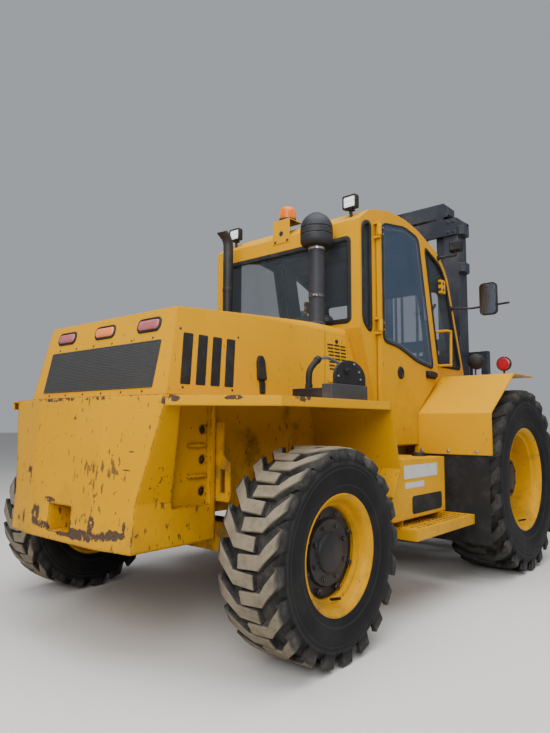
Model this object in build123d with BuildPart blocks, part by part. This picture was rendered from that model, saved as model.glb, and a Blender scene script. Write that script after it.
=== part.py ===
# Rough terrain forklift with a two-stage mast, in millimetres.
# +X points to the fork tips, +Y to the machine's left and +Z up.
# The origin is on the floor, under the middle of the machine's box.
from math import hypot, pi, tan
import os

from build123d import *

os.makedirs("parts", exist_ok=True)

# Main lengths along the machine
wheelbase = 2310
rear_overhang = 755          # rear axle to the tail
fork_face_reach = 720        # front axle to the forks' upright face
fork_length = 1220
overall_length = rear_overhang + wheelbase + fork_face_reach + fork_length
rear_x = -overall_length / 2 + rear_overhang
front_x = rear_x + wheelbase
seat_gap = 0.3               # between curved or sprung faces that rest on each other
move_gap = 6                 # between pieces that move past each other

# Wheels: radius is out to the lugs' tips
rear_radius = 476
rear_width = 330
rear_track_half = 970
rear_flange_radius = 255
rear_seat_radius = 229
rear_hub_radius = 150
rear_hub_reach = 96
rear_dish = 40                # rim's disc, outboard of the tyre's middle
front_radius = 655
front_width = 420
front_track_half = 990
front_flange_radius = 358
front_seat_radius = 318
front_hub_radius = 142
front_hub_reach = 78
front_dish = -40
rim_wall = 14
bearing_flats = 12           # flats of shafts and their bores
small_flats = 12             # of small round pieces that show
roller_flats = 8             # of rollers, cylinders and their pins
hinge_flats = 6              # of hinge pins and thin stems
kingpin_half = 770
kingpin_radius = 28
pin_gap = 0.1                # radial play of a shaft in its bore

# Frame plates
frame_half = 480             # to the plates' outer faces
frame_wall = 30
frame_rear = 220             # rear axle back to the counterweight's front face
axle_clear = 620             # underside of the frame over the rear axle
cradle_top = axle_clear + 80
belly_z = 560
ledge_z = 1174
ledge_wall = 8
ledge_lip = 45
ledge_half = 1030
ledge_tail_half = 676        # of the ledge where it leaves the counterweight's top
ledge_flare = -315           # rear axle to where the ledge reaches its full width
cab_floor_z = 905

# Counterweight
weight_base_z = 500
weight_knee_z = 705
weight_base_half = 530
weight_top_half = 660
weight_lean = 50             # how far the tail leans forward by its top
weight_bulge = 70            # how far the tail's middle stands out in plan
weight_top_z = ledge_z + 4
bulge_flat = 0.42            # share of the tail's width that is one flat face
tow_low_z = 540
tow_high_z = 667
tow_pin_radius = 16.5
tow_pin_reach = 95            # tail forward to the pin
tow_deep = 163
tow_half = 100

# Engine cover
hood_base_z = 1180
hood_tail_base = 585         # rear axle back to the cover's foot
hood_tail_top = 494
hood_rear_z = 1593
hood_front_z = 1667
hood_base_half = 592
hood_taper = 44
hood_top_half = hood_base_half - hood_taper
hood_wall = 6
hood_corner = 62
seam_gap = 6
cowl_length = 231            # fixed cowl between the engine cover and the cab, along the top
seam_lean = 68

# Cab, measured from the front axle
cab_half = 650
cab_wall = 42
cab_rear = -1405
seam_top = wheelbase + cab_rear - cowl_length - seam_gap   # rear axle forward to the joint line
seam_base = seam_top - seam_lean
cab_foot_rear = -1230
cab_front_top = -100
cab_front_waist = 165
cab_roof_z = 2520
cab_waist_z = 1465
door_wall = 30
door_gap = 5
door_rear = -1210
door_hinge_x = -1225
door_foot_z = 915
glass_wall = 6

# Mast, measured from the front axle
mast_pivot_x = 250
mast_pivot_z = 450
mast_pin_radius = 30
rail_rear = 350
rail_depth = 180
rail_half = 550              # to the outer rails' outer faces
rail_flange = 130
rail_wall = 20
rail_foot_z = 110
outer_top_z = 2870
inner_top_z = 3040
inner_half = 412
inner_flange = 72
inner_depth = 130
roller_gap = 0.5


def side_face(points, y):
    """Closed outline of x, z points, standing at y."""
    with BuildSketch(Plane.XZ.offset(-y)) as face:
        with BuildLine():
            Polyline(*points, close=True)
        make_face()
    return face.sketch


def cross_face(points, x):
    """Closed outline of y, z points, standing at x."""
    with BuildSketch(Plane.YZ.offset(x)) as face:
        with BuildLine():
            Polyline(*points, close=True)
        make_face()
    return face.sketch


def side_sheet(points, thickness, y):
    """Folded sheet seen from the side, along a line of x, z points."""
    with BuildSketch(Plane.XZ.offset(-y)) as face:
        with BuildLine():
            Polyline(*points)
            offset(amount=thickness, side=Side.LEFT)
        make_face()
    return face.sketch


def block(low, high, mode=Mode.ADD):
    """Cuboid between two corners."""
    middle = tuple((a + b) / 2 for a, b in zip(low, high))
    with Locations(middle):
        Box(*[b - a for a, b in zip(low, high)], mode=mode)


def beside(x_range, reach, side, z_range, mode=Mode.ADD):
    """Cuboid on one side of the machine; reach is its nearer and farther distance from the middle."""
    near, far = sorted(side * y for y in reach)
    block((x_range[0], near, z_range[0]), (x_range[1], far, z_range[1]), mode)


def rod(radius, start, end, flats=0, mode=Mode.ADD):
    """Straight bar between two points, round or with flats; a hole's flats face the corners of its shaft."""
    along = Vector(*end) - Vector(*start)
    with BuildSketch(Plane(origin=start, z_dir=along)) as section:
        if flats:
            if mode == Mode.SUBTRACT:
                RegularPolygon(radius, flats, major_radius=False, rotation=180 / flats)
            else:
                RegularPolygon(radius, flats)
        else:
            Circle(radius)
    extrude(to_extrude=section.sketch, amount=along.length, mode=mode)


def rod_y(radius, x, z, y_from, y_to, flats=0, mode=Mode.ADD):
    rod(radius, (x, y_from, z), (x, y_to, z), flats, mode)


def rod_z(radius, x, y, z_from, z_to, flats=0, mode=Mode.ADD):
    rod(radius, (x, y, z_from), (x, y, z_to), flats, mode)


def rod_x(radius, y, z, x_from, x_to, flats=0, mode=Mode.ADD):
    rod(radius, (x_from, y, z), (x_to, y, z), flats, mode)


def ring_slice(profile, flats):
    """One flat-sided slice of a ring about Z, from an outline of radius, height points."""
    reach = max(radius for radius, height in profile)
    low_z = min(height for radius, height in profile)
    high_z = max(height for radius, height in profile)
    half_wide = reach * tan(pi / flats)
    with BuildPart() as piece:
        extrude(to_extrude=side_face(profile, -half_wide), amount=2 * half_wide, dir=left)
        with BuildSketch(Plane.XY.offset(low_z)) as wedge:
            with BuildLine():
                Polyline((0, 0), (reach, -half_wide), (reach, half_wide), close=True)
            make_face()
        extrude(to_extrude=wedge.sketch, amount=high_z - low_z, mode=Mode.INTERSECT)
    return piece.part


def long_octagon(wide, high):
    """Flat-sided outline of an oval lamp."""
    with BuildSketch() as face:
        Rectangle(wide, high)
        chamfer(face.vertices(), length=high * 0.3)
    return face.sketch


def save(builder, name):
    builder.part.label = name
    export_step(builder.part, "parts/" + name + ".step")


left = (0, 1, 0)
ahead = (1, 0, 0)
both_sides = (-1, 1)

# Frame: two plates with cross members, open below, cut out over the front axle
plate_in = frame_half - frame_wall
frame_top_z = ledge_z - ledge_wall
notch_half = 135
axle_top_z = 765
nose_radius = 68
cross_wall = 25
bracket_x = rear_x - frame_rear + 4
bracket_wall = 12
bracket_points = [
    (frame_half - 5, 680), (615, 680), (625, 700), (625, 865), (600, 885), (575, 900), (575, 1060),
    (frame_half - 5, 1060),
]
bracket_slot_y = 573
bracket_slot_z = 778
bracket_slot_wide = 34
bracket_slot_high = 110
tilt_pin_x = front_x - 760
tilt_pin_z = 835
tilt_y = 330
tilt_pin_radius = 18
frame_outline = [
    (rear_x - frame_rear, axle_clear), (rear_x - frame_rear, frame_top_z),
    (front_x + cab_foot_rear - seat_gap, frame_top_z), (front_x + cab_foot_rear - seat_gap, cab_floor_z),
    (front_x + mast_pivot_x - 20, cab_floor_z), (front_x + mast_pivot_x - 20, mast_pivot_z),
    (front_x + mast_pivot_x - nose_radius, mast_pivot_z), (front_x + notch_half, belly_z),
    (front_x + notch_half, axle_top_z), (front_x - notch_half, axle_top_z),
    (front_x - notch_half, belly_z), (rear_x + 480, belly_z), (rear_x + 330, axle_clear),
]
with BuildPart() as frame:
    extrude(to_extrude=side_face(frame_outline, plate_in), amount=frame_wall, dir=left)
    rod_y(nose_radius, front_x + mast_pivot_x, mast_pivot_z, plate_in, frame_half, flats=bearing_flats)
    rod_y(mast_pin_radius, front_x + mast_pivot_x, mast_pivot_z, frame_half, rail_half, flats=bearing_flats)
    mirror(about=Plane.XZ)
    for cross_x, low_z, high_z in (
        (rear_x - frame_rear, 640, 900), (rear_x + 700, 580, 760), (front_x + 190, 470, 740),
    ):
        block((cross_x, -plate_in, low_z), (cross_x + cross_wall, plate_in, high_z))
    # carrier of the tilt cylinders, and the pins that hold them
    block((tilt_pin_x - 90, -plate_in, belly_z + 40), (tilt_pin_x - 60, plate_in, cab_floor_z))
    for side in both_sides:
        for ear_y in (tilt_y - 48, tilt_y + 30):
            block((tilt_pin_x - 65, min(side * ear_y, side * (ear_y + 18)), tilt_pin_z - 40),
                  (tilt_pin_x + 30, max(side * ear_y, side * (ear_y + 18)), tilt_pin_z + 40))
        rod_y(tilt_pin_radius, tilt_pin_x, tilt_pin_z, side * (tilt_y - 48), side * (tilt_y + 48),
              flats=roller_flats)
        # slotted bracket behind the wheel well
        with BuildSketch(Plane.YZ.offset(bracket_x)):
            with BuildLine():
                Polyline(*[(side * y, z) for y, z in bracket_points], close=True)
            make_face()
            with Locations((side * bracket_slot_y, bracket_slot_z)):
                Rectangle(bracket_slot_wide, bracket_slot_high, mode=Mode.SUBTRACT)
        extrude(amount=bracket_wall)
    # cradle that the rear axle swings in
    for cradle_x in (rear_x - 170, rear_x + 140):
        block((cradle_x, -plate_in, axle_clear), (cradle_x + 30, plate_in, cradle_top))
        block((cradle_x, -110, axle_clear - 200), (cradle_x + 30, 110, axle_clear))
save(frame, "frame")

# Counterweight: leaning tail, bulged in plan, flared sides
tail_x = rear_x - rear_overhang
weight_front_x = rear_x - frame_rear - seat_gap
post_rear_x = weight_front_x - 33
post_foot_z = weight_knee_z - 35
pocket_top_z = weight_top_z - 36
pocket_low_x = rear_x - 484  # pocket's leaning rear edge, at its foot and its top
pocket_high_x = rear_x - 542
pocket_half = weight_base_half - 30
core_radius = 23
core_deep = 60
core_x = post_rear_x - 24
core_heights = (730, 879, 1025)
rib_heights = (806, 948)
rib_half = 9
rib_proud = 18
weight_section = [
    (-weight_base_half, weight_base_z), (-weight_base_half, weight_knee_z), (-weight_top_half, weight_top_z),
    (weight_top_half, weight_top_z), (weight_base_half, weight_knee_z), (weight_base_half, weight_base_z),
]
with BuildPart() as counterweight:
    wide = weight_top_half + 40
    corner_x = tail_x + weight_bulge * (wide / weight_top_half) ** 2
    with BuildSketch(Plane.XY.offset(weight_base_z)):
        with BuildLine():
            Polyline((corner_x, wide), (tail_x + weight_bulge * bulge_flat ** 2, wide * bulge_flat),
                     (tail_x + weight_bulge * bulge_flat ** 2, -wide * bulge_flat), (corner_x, -wide),
                     (weight_front_x + 100, -wide), (weight_front_x + 100, wide), close=True)
        make_face()
    weight_high = weight_top_z - weight_base_z
    extrude(amount=hypot(weight_lean, weight_high), dir=(weight_lean, 0, weight_high))
    extrude(to_extrude=cross_face(weight_section, tail_x - 20), amount=weight_front_x - tail_x + 20, dir=ahead,
            mode=Mode.INTERSECT)
    block((tail_x - 1, -tow_half, tow_low_z), (tail_x + tow_deep, tow_half, tow_high_z), mode=Mode.SUBTRACT)
    rod_z(tow_pin_radius, tail_x + tow_pin_reach, 0, weight_base_z - 1, tow_low_z + 1, mode=Mode.SUBTRACT)
    rod_z(tow_pin_radius, tail_x + tow_pin_reach, 0, tow_high_z - 1, tow_high_z + 70, flats=roller_flats,
          mode=Mode.SUBTRACT)
    for side in both_sides:
        # flat post ahead of a pocket, with core holes and two cast ribs
        extrude(to_extrude=side_face([
            (post_rear_x, post_foot_z), (weight_front_x + 1, post_foot_z),
            (weight_front_x + 1, weight_top_z + 1), (post_rear_x, weight_top_z + 1)], side * weight_base_half),
            amount=side * 200, dir=left, mode=Mode.SUBTRACT)
        extrude(to_extrude=side_face([
            (pocket_low_x, post_foot_z), (post_rear_x, post_foot_z),
            (post_rear_x, pocket_top_z), (pocket_high_x, pocket_top_z)], side * pocket_half),
            amount=side * 200, dir=left, mode=Mode.SUBTRACT)
        for z in core_heights:
            rod_y(core_radius, core_x, z, side * pocket_half, side * (pocket_half - core_deep),
                  flats=roller_flats, mode=Mode.SUBTRACT)
        for z in rib_heights:
            beside((core_x - 100, core_x + 9), (pocket_half - 5, pocket_half + rib_proud), side,
                   (z - rib_half, z + rib_half))
save(counterweight, "counterweight")


def cover(side_points, inset, mode=Mode.ADD):
    """Engine cover body between its side outline and its rounded cross section."""
    slope = (hood_base_half - hood_top_half) / (hood_front_z - hood_base_z)
    low_z, high_z = 1100, hood_front_z - inset
    low_half = hood_base_half + slope * (hood_base_z - low_z) - inset
    high_half = hood_top_half - inset
    x_from = min(p[0] for p in side_points)
    x_to = max(p[0] for p in side_points)
    with BuildSketch(Plane.YZ.offset(x_from)) as section:
        with BuildLine():
            Polyline((-low_half, low_z), (-high_half, high_z), (high_half, high_z), (low_half, low_z), close=True)
        make_face()
        top_corners = section.vertices().group_by(Axis.Z)[-1]
        if inset > 0:
            chamfer(top_corners, length=hood_corner - inset)
        else:
            fillet(top_corners, radius=hood_corner - inset)
    body = extrude(to_extrude=section.sketch, amount=x_to - x_from, dir=ahead, mode=Mode.PRIVATE)
    body &= extrude(to_extrude=side_face(side_points, -low_half), amount=2 * low_half, dir=left, mode=Mode.PRIVATE)
    add(body, mode=mode)


# Engine cover, a lid hinged at its front edge
tail_slope = (hood_tail_base - hood_tail_top) / (hood_rear_z - hood_base_z)


def tail_at(z):
    """x of the cover's leaning tail at a height."""
    return rear_x - hood_tail_base + tail_slope * (z - hood_base_z)


hinge_half = 330
hinge_x = rear_x + seam_top + seam_gap / 2
hinge_z = hood_front_z + 13
hinge_pin_radius = 6
hinge_barrel_radius = 12
hood_outline = [
    (rear_x - hood_tail_base, hood_base_z), (rear_x - hood_tail_top, hood_rear_z),
    (rear_x + seam_top, hood_front_z), (rear_x + seam_base, hood_base_z),
]
hood_hollow = [
    (tail_at(hood_base_z - 50) + hood_wall, hood_base_z - 50),
    (tail_at(hood_rear_z - hood_wall) + hood_wall, hood_rear_z - hood_wall),
    (rear_x + seam_top + 90, hood_front_z - hood_wall), (rear_x + seam_base + 90, hood_base_z - 50),
]
slot_count = 4
slot_pitch = 93
slot_first = -455
slot_wide = 46
slot_low_z = 1235
slot_high_z = 1468
slot_lean = 35
grille_half = 440
grille_low_z = 1225
grille_high_z = 1420
lamp_z = 1520
lamp_y = (-367, 0, 367)
lamp_half = 82
lamp_high = 46


tail_plane = Plane(origin=(tail_at(lamp_z), 0, lamp_z), x_dir=(0, -1, 0), z_dir=(-1, 0, tail_slope))
grille_plane = Plane(origin=(tail_at((grille_low_z + grille_high_z) / 2), 0, (grille_low_z + grille_high_z) / 2),
                     x_dir=(0, -1, 0), z_dir=(-1, 0, tail_slope))
with BuildPart() as hood:
    cover(hood_outline, 0)
    cover(hood_hollow, hood_wall, mode=Mode.SUBTRACT)
    for slot in range(slot_count):
        x = rear_x + slot_first + slot * slot_pitch
        slot_points = [(x, slot_high_z), (x + slot_wide, slot_high_z),
                       (x + slot_wide - slot_lean, slot_low_z), (x - slot_lean, slot_low_z)]
        extrude(to_extrude=side_face(slot_points, -hood_base_half), amount=2 * hood_base_half, dir=left,
                mode=Mode.SUBTRACT)
    with BuildSketch(grille_plane):
        Rectangle(2 * grille_half, grille_high_z - grille_low_z)
    extrude(amount=40, both=True, mode=Mode.SUBTRACT)
    with BuildSketch(tail_plane):
        with Locations(*[(-y, 0) for y in lamp_y]):
            add(long_octagon(2 * lamp_half, lamp_high))
    extrude(amount=40, both=True, mode=Mode.SUBTRACT)
    for side in both_sides:
        y = side * hinge_half
        rod_y(hinge_barrel_radius, hinge_x, hinge_z, y - 30, y + 30, flats=8)
        block((hinge_x - 60, y - 30, hood_front_z - 12), (hinge_x, y + 30, hinge_z))
        rod_y(hinge_pin_radius + pin_gap, hinge_x, hinge_z, y - 31, y + 31, flats=hinge_flats, mode=Mode.SUBTRACT)
save(hood, "hood")

with BuildPart() as hood_grille:
    with BuildSketch(grille_plane.offset(-hood_wall)):
        Rectangle(2 * grille_half + 40, grille_high_z - grille_low_z + 30)
    extrude(amount=-4)
save(hood_grille, "hood_grille")

with BuildPart() as tail_lamps:
    with BuildSketch(tail_plane.offset(-hood_wall)):
        with Locations(*[(-y, 0) for y in lamp_y]):
            add(long_octagon(2 * lamp_half - 2 * seat_gap, lamp_high - 2 * seat_gap))
    extrude(amount=hood_wall + 14)
save(tail_lamps, "tail_lamps")

latch_x = rear_x + 50
latch_z = 1290
with BuildPart() as hood_latches:
    for side in both_sides:
        y = side * (hood_base_half + 4)
        block((latch_x - 20, min(y - side * 30, y + side * 12), latch_z - 85),
              (latch_x + 20, max(y - side * 30, y + side * 12), latch_z + 85))
    cover(hood_outline, -seat_gap, mode=Mode.SUBTRACT)
save(hood_latches, "hood_latches")

# Fixed cowl between the engine cover and the cab
cowl_outline = [
    (rear_x + seam_base + seam_gap, ledge_z), (rear_x + seam_top + seam_gap, hood_front_z),
    (front_x + cab_rear, hood_front_z), (front_x + cab_rear, 1660), (front_x + cab_foot_rear, 1180),
    (front_x + cab_foot_rear, ledge_z),
]
cowl_hollow = [
    (rear_x + seam_base - 90, ledge_z - 50), (rear_x + seam_top - 90, hood_front_z - hood_wall),
    (front_x + cab_foot_rear + 9, hood_front_z - hood_wall), (front_x + cab_foot_rear + 9, ledge_z - 50),
]
ear_points = [
    (hinge_x - 8, hinge_z - 9), (hinge_x - 8, hinge_z + 9), (hinge_x + 8, hinge_z + 9),
    (hinge_x + 36, hood_front_z - 2), (hinge_x + 4, hood_front_z - 2),
]
with BuildPart() as cowl:
    cover(cowl_outline, 0)
    cover(cowl_hollow, hood_wall, mode=Mode.SUBTRACT)
    for side in both_sides:
        y = side * hinge_half
        rod_y(hinge_pin_radius, hinge_x, hinge_z, y - 46, y + 46, flats=hinge_flats)
        for ear in (-46, 31):
            extrude(to_extrude=side_face(ear_points, y + ear), amount=15, dir=left)
save(cowl, "cowl")

# Engine, one plain block between the frame plates
engine_half = 320
with BuildPart() as engine:
    block((rear_x - 180, -engine_half, cradle_top + seat_gap), (rear_x + seam_base + 90, engine_half, 1430))
save(engine, "engine")

# Rear fenders: a ledge with a turned-down lip, and the arch's front plate
arch_x = rear_x + seam_base
arch_points = [(arch_x, ledge_z - ledge_wall), (arch_x + 90, 810), (arch_x + 17, 660)]
ledge_tail_x = rear_x - 655
ledge_in = weight_top_half + 0.5
ledge_points = [
    (arch_x, frame_half + 100), (arch_x, ledge_half), (rear_x + ledge_flare, ledge_half),
    (ledge_tail_x, ledge_tail_half), (ledge_tail_x, ledge_in), (weight_front_x + seat_gap, ledge_in),
    (weight_front_x + seat_gap, frame_half - frame_wall), (arch_x, frame_half - frame_wall),
]
with BuildPart() as rear_fenders:
    with BuildSketch(Plane.XY.offset(ledge_z)):
        with BuildLine():
            Polyline(*ledge_points, close=True)
        make_face()
    extrude(amount=-ledge_wall)
    with BuildSketch(Plane.XY.offset(ledge_z)):
        with BuildLine():
            Polyline(*ledge_points[:4])
            offset(amount=ledge_wall, side=Side.LEFT)
        make_face()
    extrude(amount=-ledge_lip)
    extrude(to_extrude=side_sheet(arch_points, 6, frame_half), amount=ledge_half - frame_half, dir=left)
    mirror(about=Plane.XZ)
save(rear_fenders, "rear_fenders")

# Cab: one curved shell, its door and window openings cut out
roof_rear = (front_x - 1290, 2455)
roof_crown = (front_x - 880, cab_roof_z)
roof_front = (front_x - 440, 2435)
brow = (front_x - 215, 2335)
cab_nose = (front_x + cab_front_top, 2200)
cab_waist = (front_x + cab_front_waist, cab_waist_z)


def cab_face(inset, y):
    """Cab outline seen from the side."""
    with BuildSketch(Plane.XZ.offset(-y)) as face:
        with BuildLine():
            Polyline(cab_nose, cab_waist, (front_x + cab_front_waist, 1250), (front_x + 60, cab_floor_z),
                     (front_x + cab_foot_rear, cab_floor_z), (front_x + cab_foot_rear, 1180),
                     (front_x + cab_rear, 1660), (front_x + cab_rear, 2370), roof_rear)
            ThreePointArc(roof_rear, roof_crown, roof_front)
            ThreePointArc(roof_front, brow, cab_nose)
        make_face()
        if inset:
            offset(amount=-inset, kind=Kind.INTERSECTION, mode=Mode.REPLACE)
    return face.sketch


# Door outline from its hinge edge, as x from the front axle and z
door_points = [
    (door_rear, door_foot_z), (-730, door_foot_z), (-730, 1124), (-375, 1400), (-612, 2425), (-880, 2455),
    (-1080, 2445), (door_rear, 2400),
]
door_glass_points = [
    (-1188, 2385), (-1188, 1590), (-990, 1570), (-720, 1490), (-470, 1456), (-672, 2405), (-880, 2435),
]
rear_quarter_points = [(-1372, 1700), (-1275, 1640), (-1275, 2380), (-1372, 2350)]
front_quarter_points = [(-300, 1500), (100, 1500), (-150, 2190), (-235, 2290), (-495, 2385)]


def at_front(points):
    return [(front_x + x, z) for x, z in points]


def shrunk_face(points, inset, y):
    """Closed outline of x, z points, drawn in by an inset."""
    with BuildSketch(Plane.XZ.offset(-y)) as face:
        with BuildLine():
            Polyline(*points, close=True)
        make_face()
        offset(amount=-inset, kind=Kind.INTERSECTION, mode=Mode.REPLACE)
    return face.sketch


rear_window_half = 575
rear_window_low = 1705
rear_window_high = 2260
screen_half = 570
screen_low = 1510
screen_high = 2150
screen_rise = (cab_nose[1] - cab_waist_z)
screen_plane = Plane(origin=((cab_nose[0] + cab_waist[0]) / 2, 0, (cab_nose[1] + cab_waist_z) / 2), x_dir=(0, 1, 0),
                     z_dir=(screen_rise, 0, cab_waist[0] - cab_nose[0]))
screen_tall = (screen_high - screen_low) * 1.06
seat_x = front_x - 890
hinge_heights = (1690, 2330)
door_hinge_y = 690
door_pin_radius = 8
lug_half = 9
lug_reach = (cab_half - 5, door_hinge_y + 8)
lug_high = 16
pin_half = 56
grab_y = 735
grab_radius = 10
grab_ends = (-340, 1757, -328, 1495)      # upper x and z, lower x and z
grab_corners = (-255, 1762, -268, 1497)
with BuildPart() as cab_frame:
    extrude(to_extrude=cab_face(0, -cab_half), amount=2 * cab_half, dir=left)
    extrude(to_extrude=cab_face(cab_wall, -cab_half + cab_wall), amount=2 * (cab_half - cab_wall), dir=left,
            mode=Mode.SUBTRACT)
    extrude(to_extrude=shrunk_face(at_front(door_points), 28, -cab_half), amount=2 * cab_half, dir=left,
            mode=Mode.SUBTRACT)
    for points in (rear_quarter_points, front_quarter_points):
        extrude(to_extrude=side_face(at_front(points), -cab_half), amount=2 * cab_half, dir=left, mode=Mode.SUBTRACT)
    block((front_x + cab_rear - 5, -rear_window_half, rear_window_low),
          (front_x + cab_rear + cab_wall + 5, rear_window_half, rear_window_high), mode=Mode.SUBTRACT)
    with BuildSketch(screen_plane):
        Rectangle(2 * screen_half, screen_tall)
    extrude(amount=90, both=True, mode=Mode.SUBTRACT)
    block((seat_x - 230, -230, cab_floor_z + cab_wall), (seat_x + 230, 230, 1170))
    for side in both_sides:
        for z in hinge_heights:
            rod_z(door_pin_radius, front_x + door_hinge_x, side * door_hinge_y, z - pin_half, z + pin_half,
                  flats=hinge_flats)
            for low in (-pin_half, pin_half - lug_high):
                beside((front_x + door_hinge_x - lug_half, front_x + door_hinge_x + lug_half), lug_reach, side,
                       (z + low, z + low + lug_high))
        # grab bar ahead of the door
        high_x, high_z, low_x, low_z = grab_ends
        out_high_x, out_high_z, out_low_x, out_low_z = grab_corners
        bar_path = [
            (front_x + high_x, side * (cab_half - 5), high_z), (front_x + high_x, side * grab_y, high_z),
            (front_x + out_high_x, side * grab_y, out_high_z), (front_x + out_low_x, side * grab_y, out_low_z),
            (front_x + low_x, side * grab_y, low_z), (front_x + low_x, side * (cab_half - 5), low_z),
        ]
        with BuildLine():
            Polyline(*bar_path)
        with BuildSketch(Plane(origin=bar_path[0], z_dir=(0, side, 0))):
            RegularPolygon(grab_radius, 6)
        sweep(transition=Transition.RIGHT)
    # beacon bracket over the rear window
    block((front_x + cab_rear - 4, -75, 2330), (front_x + cab_rear + 2, 75, 2500))
    block((front_x + cab_rear - 4, -75, 2494), (front_x + cab_rear + 140, 75, 2500))
save(cab_frame, "cab_frame")

with BuildPart() as cab_glass:
    block((front_x + cab_rear + 8, -rear_window_half + seat_gap, rear_window_low + seat_gap),
          (front_x + cab_rear + 8 + glass_wall, rear_window_half - seat_gap, rear_window_high - seat_gap))
    for side in both_sides:
        for points in (rear_quarter_points, front_quarter_points):
            extrude(to_extrude=shrunk_face(at_front(points), seat_gap, side * (cab_half - 12)), amount=glass_wall,
                    dir=left)
    with BuildSketch(screen_plane.offset(-14)):
        Rectangle(2 * (screen_half - seat_gap), screen_tall - 2 * seat_gap)
    extrude(amount=glass_wall)
save(cab_glass, "cab_glass")

# Driver's seat, wheel and levers
with BuildPart() as seat:
    block((seat_x - 250, -245, 1170), (seat_x + 250, 245, 1300))
    block((seat_x - 270, -235, 1300), (seat_x - 150, 235, 1850))
save(seat, "seat")

column_foot = (front_x - 200, 0, cab_floor_z + cab_wall + 25)
column_head = (front_x - 330, 0, 1440)
wheel_grip_radius = 199
with BuildPart() as steering_column:
    rod(40, column_foot, column_head, flats=small_flats)
    with BuildSketch(Plane(origin=column_head, z_dir=Vector(*column_head) - Vector(*column_foot))):
        RegularPolygon(wheel_grip_radius, 18)
        RegularPolygon(wheel_grip_radius - 28, 18, mode=Mode.SUBTRACT)
        Rectangle(2 * wheel_grip_radius - 30, 34)
    extrude(amount=12, both=True)
    block((front_x - 250, -120, cab_floor_z + cab_wall), (front_x - 130, 120, cab_floor_z + cab_wall + 40))
save(steering_column, "steering_column")

# Doors: pressed panel with a window, hung on pins at their rear edge
door_in = cab_half + door_gap
door_out = door_in + door_wall
barrel_half = pin_half - lug_high - 0.5
for side, name in ((1, "left"), (-1, "right")):
    with BuildPart() as door:
        extrude(to_extrude=side_face(at_front(door_points), side * door_in), amount=side * door_wall, dir=left)
        extrude(to_extrude=shrunk_face(at_front(door_glass_points), 34, side * door_in),
                amount=side * door_wall, dir=left, mode=Mode.SUBTRACT)
        for z in hinge_heights:
            low_z = z - barrel_half
            high_z = z + barrel_half
            rod_z(15, front_x + door_hinge_x, side * door_hinge_y, low_z, high_z, flats=8)
            beside((front_x + door_hinge_x, front_x + door_rear + 15), (door_hinge_y - 10, door_hinge_y), side,
                   (low_z, high_z))
            rod_z(door_pin_radius + pin_gap, front_x + door_hinge_x, side * door_hinge_y, low_z - 1, high_z + 1,
                  flats=hinge_flats, mode=Mode.SUBTRACT)
    save(door, "door_" + name)
    with BuildPart() as door_glass:
        extrude(to_extrude=side_face(at_front(door_glass_points), side * (door_out + seat_gap)),
                amount=side * glass_wall, dir=left)
    save(door_glass, "door_glass_" + name)
    with BuildPart() as door_handle:
        beside((front_x - 560, front_x - 430), (door_out + seat_gap, door_out + 40), side, (1395, 1425))
    save(door_handle, "door_handle_" + name)

# Front fenders: bent sheet over each wheel
fender_out = 1200
fender_points = [(front_x - 710, 850), (front_x - 710, 1124), (front_x - 255, 1408), (front_x + 160, 1408)]
with BuildPart() as front_fenders:
    extrude(to_extrude=side_sheet(fender_points, 8, cab_half), amount=fender_out - cab_half, dir=left)
    mirror(about=Plane.XZ)
save(front_fenders, "front_fenders")

with BuildPart() as mudflaps:
    block((front_x - 709.7, 760, 280), (front_x - 701, 1170, 900))
    mirror(about=Plane.XZ)
save(mudflaps, "mudflaps")

tank_out = 1000
tank_points = [
    (arch_x + 50, 530), (arch_x + 50, 640), (arch_x + 100, 800), (arch_x + 100, 851), (front_x - 1000, 851),
    (front_x - 1000, 518), (arch_x + 60, 518),
]
with BuildPart() as side_tanks:
    extrude(to_extrude=side_face(tank_points, frame_half), amount=tank_out - frame_half, dir=left)
    mirror(about=Plane.XZ)
save(side_tanks, "side_tanks")

step_z = 450
with BuildPart() as steps:
    for side in both_sides:
        beside((arch_x + 140, front_x - 790), (800, 1100), side, (step_z - 30, step_z + 30))
        for hanger_x in (arch_x + 200, front_x - 1060):
            beside((hanger_x, hanger_x + 10), (810, 980), side, (step_z + 30, 518))
save(steps, "steps")

# Front axle: a driven beam with a differential bowl
hub_seat_y = 820
bowl_radius = 185
bowl_reach = 150
bowl_step = 112
front_stub_radius = 60
with BuildPart() as front_axle:
    with BuildSketch(Plane.XZ.offset(-hub_seat_y)) as beam:
        with Locations((front_x, front_radius)):
            Rectangle(190, 190)
        chamfer(beam.vertices(), length=35)
    extrude(amount=2 * hub_seat_y)
    rod_x(bowl_radius, 0, front_radius, front_x - bowl_step, front_x + bowl_step, flats=small_flats)
    rod_x(bowl_radius * 0.72, 0, front_radius, front_x - bowl_reach, front_x + bowl_reach, flats=small_flats)
    for side in both_sides:
        beside((front_x - 110, front_x + 110), (430, 500), side, (560, axle_top_z))
        rod_y(front_stub_radius, front_x, front_radius, side * hub_seat_y, side * (front_track_half - 60),
              flats=bearing_flats)
save(front_axle, "front_axle")

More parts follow.
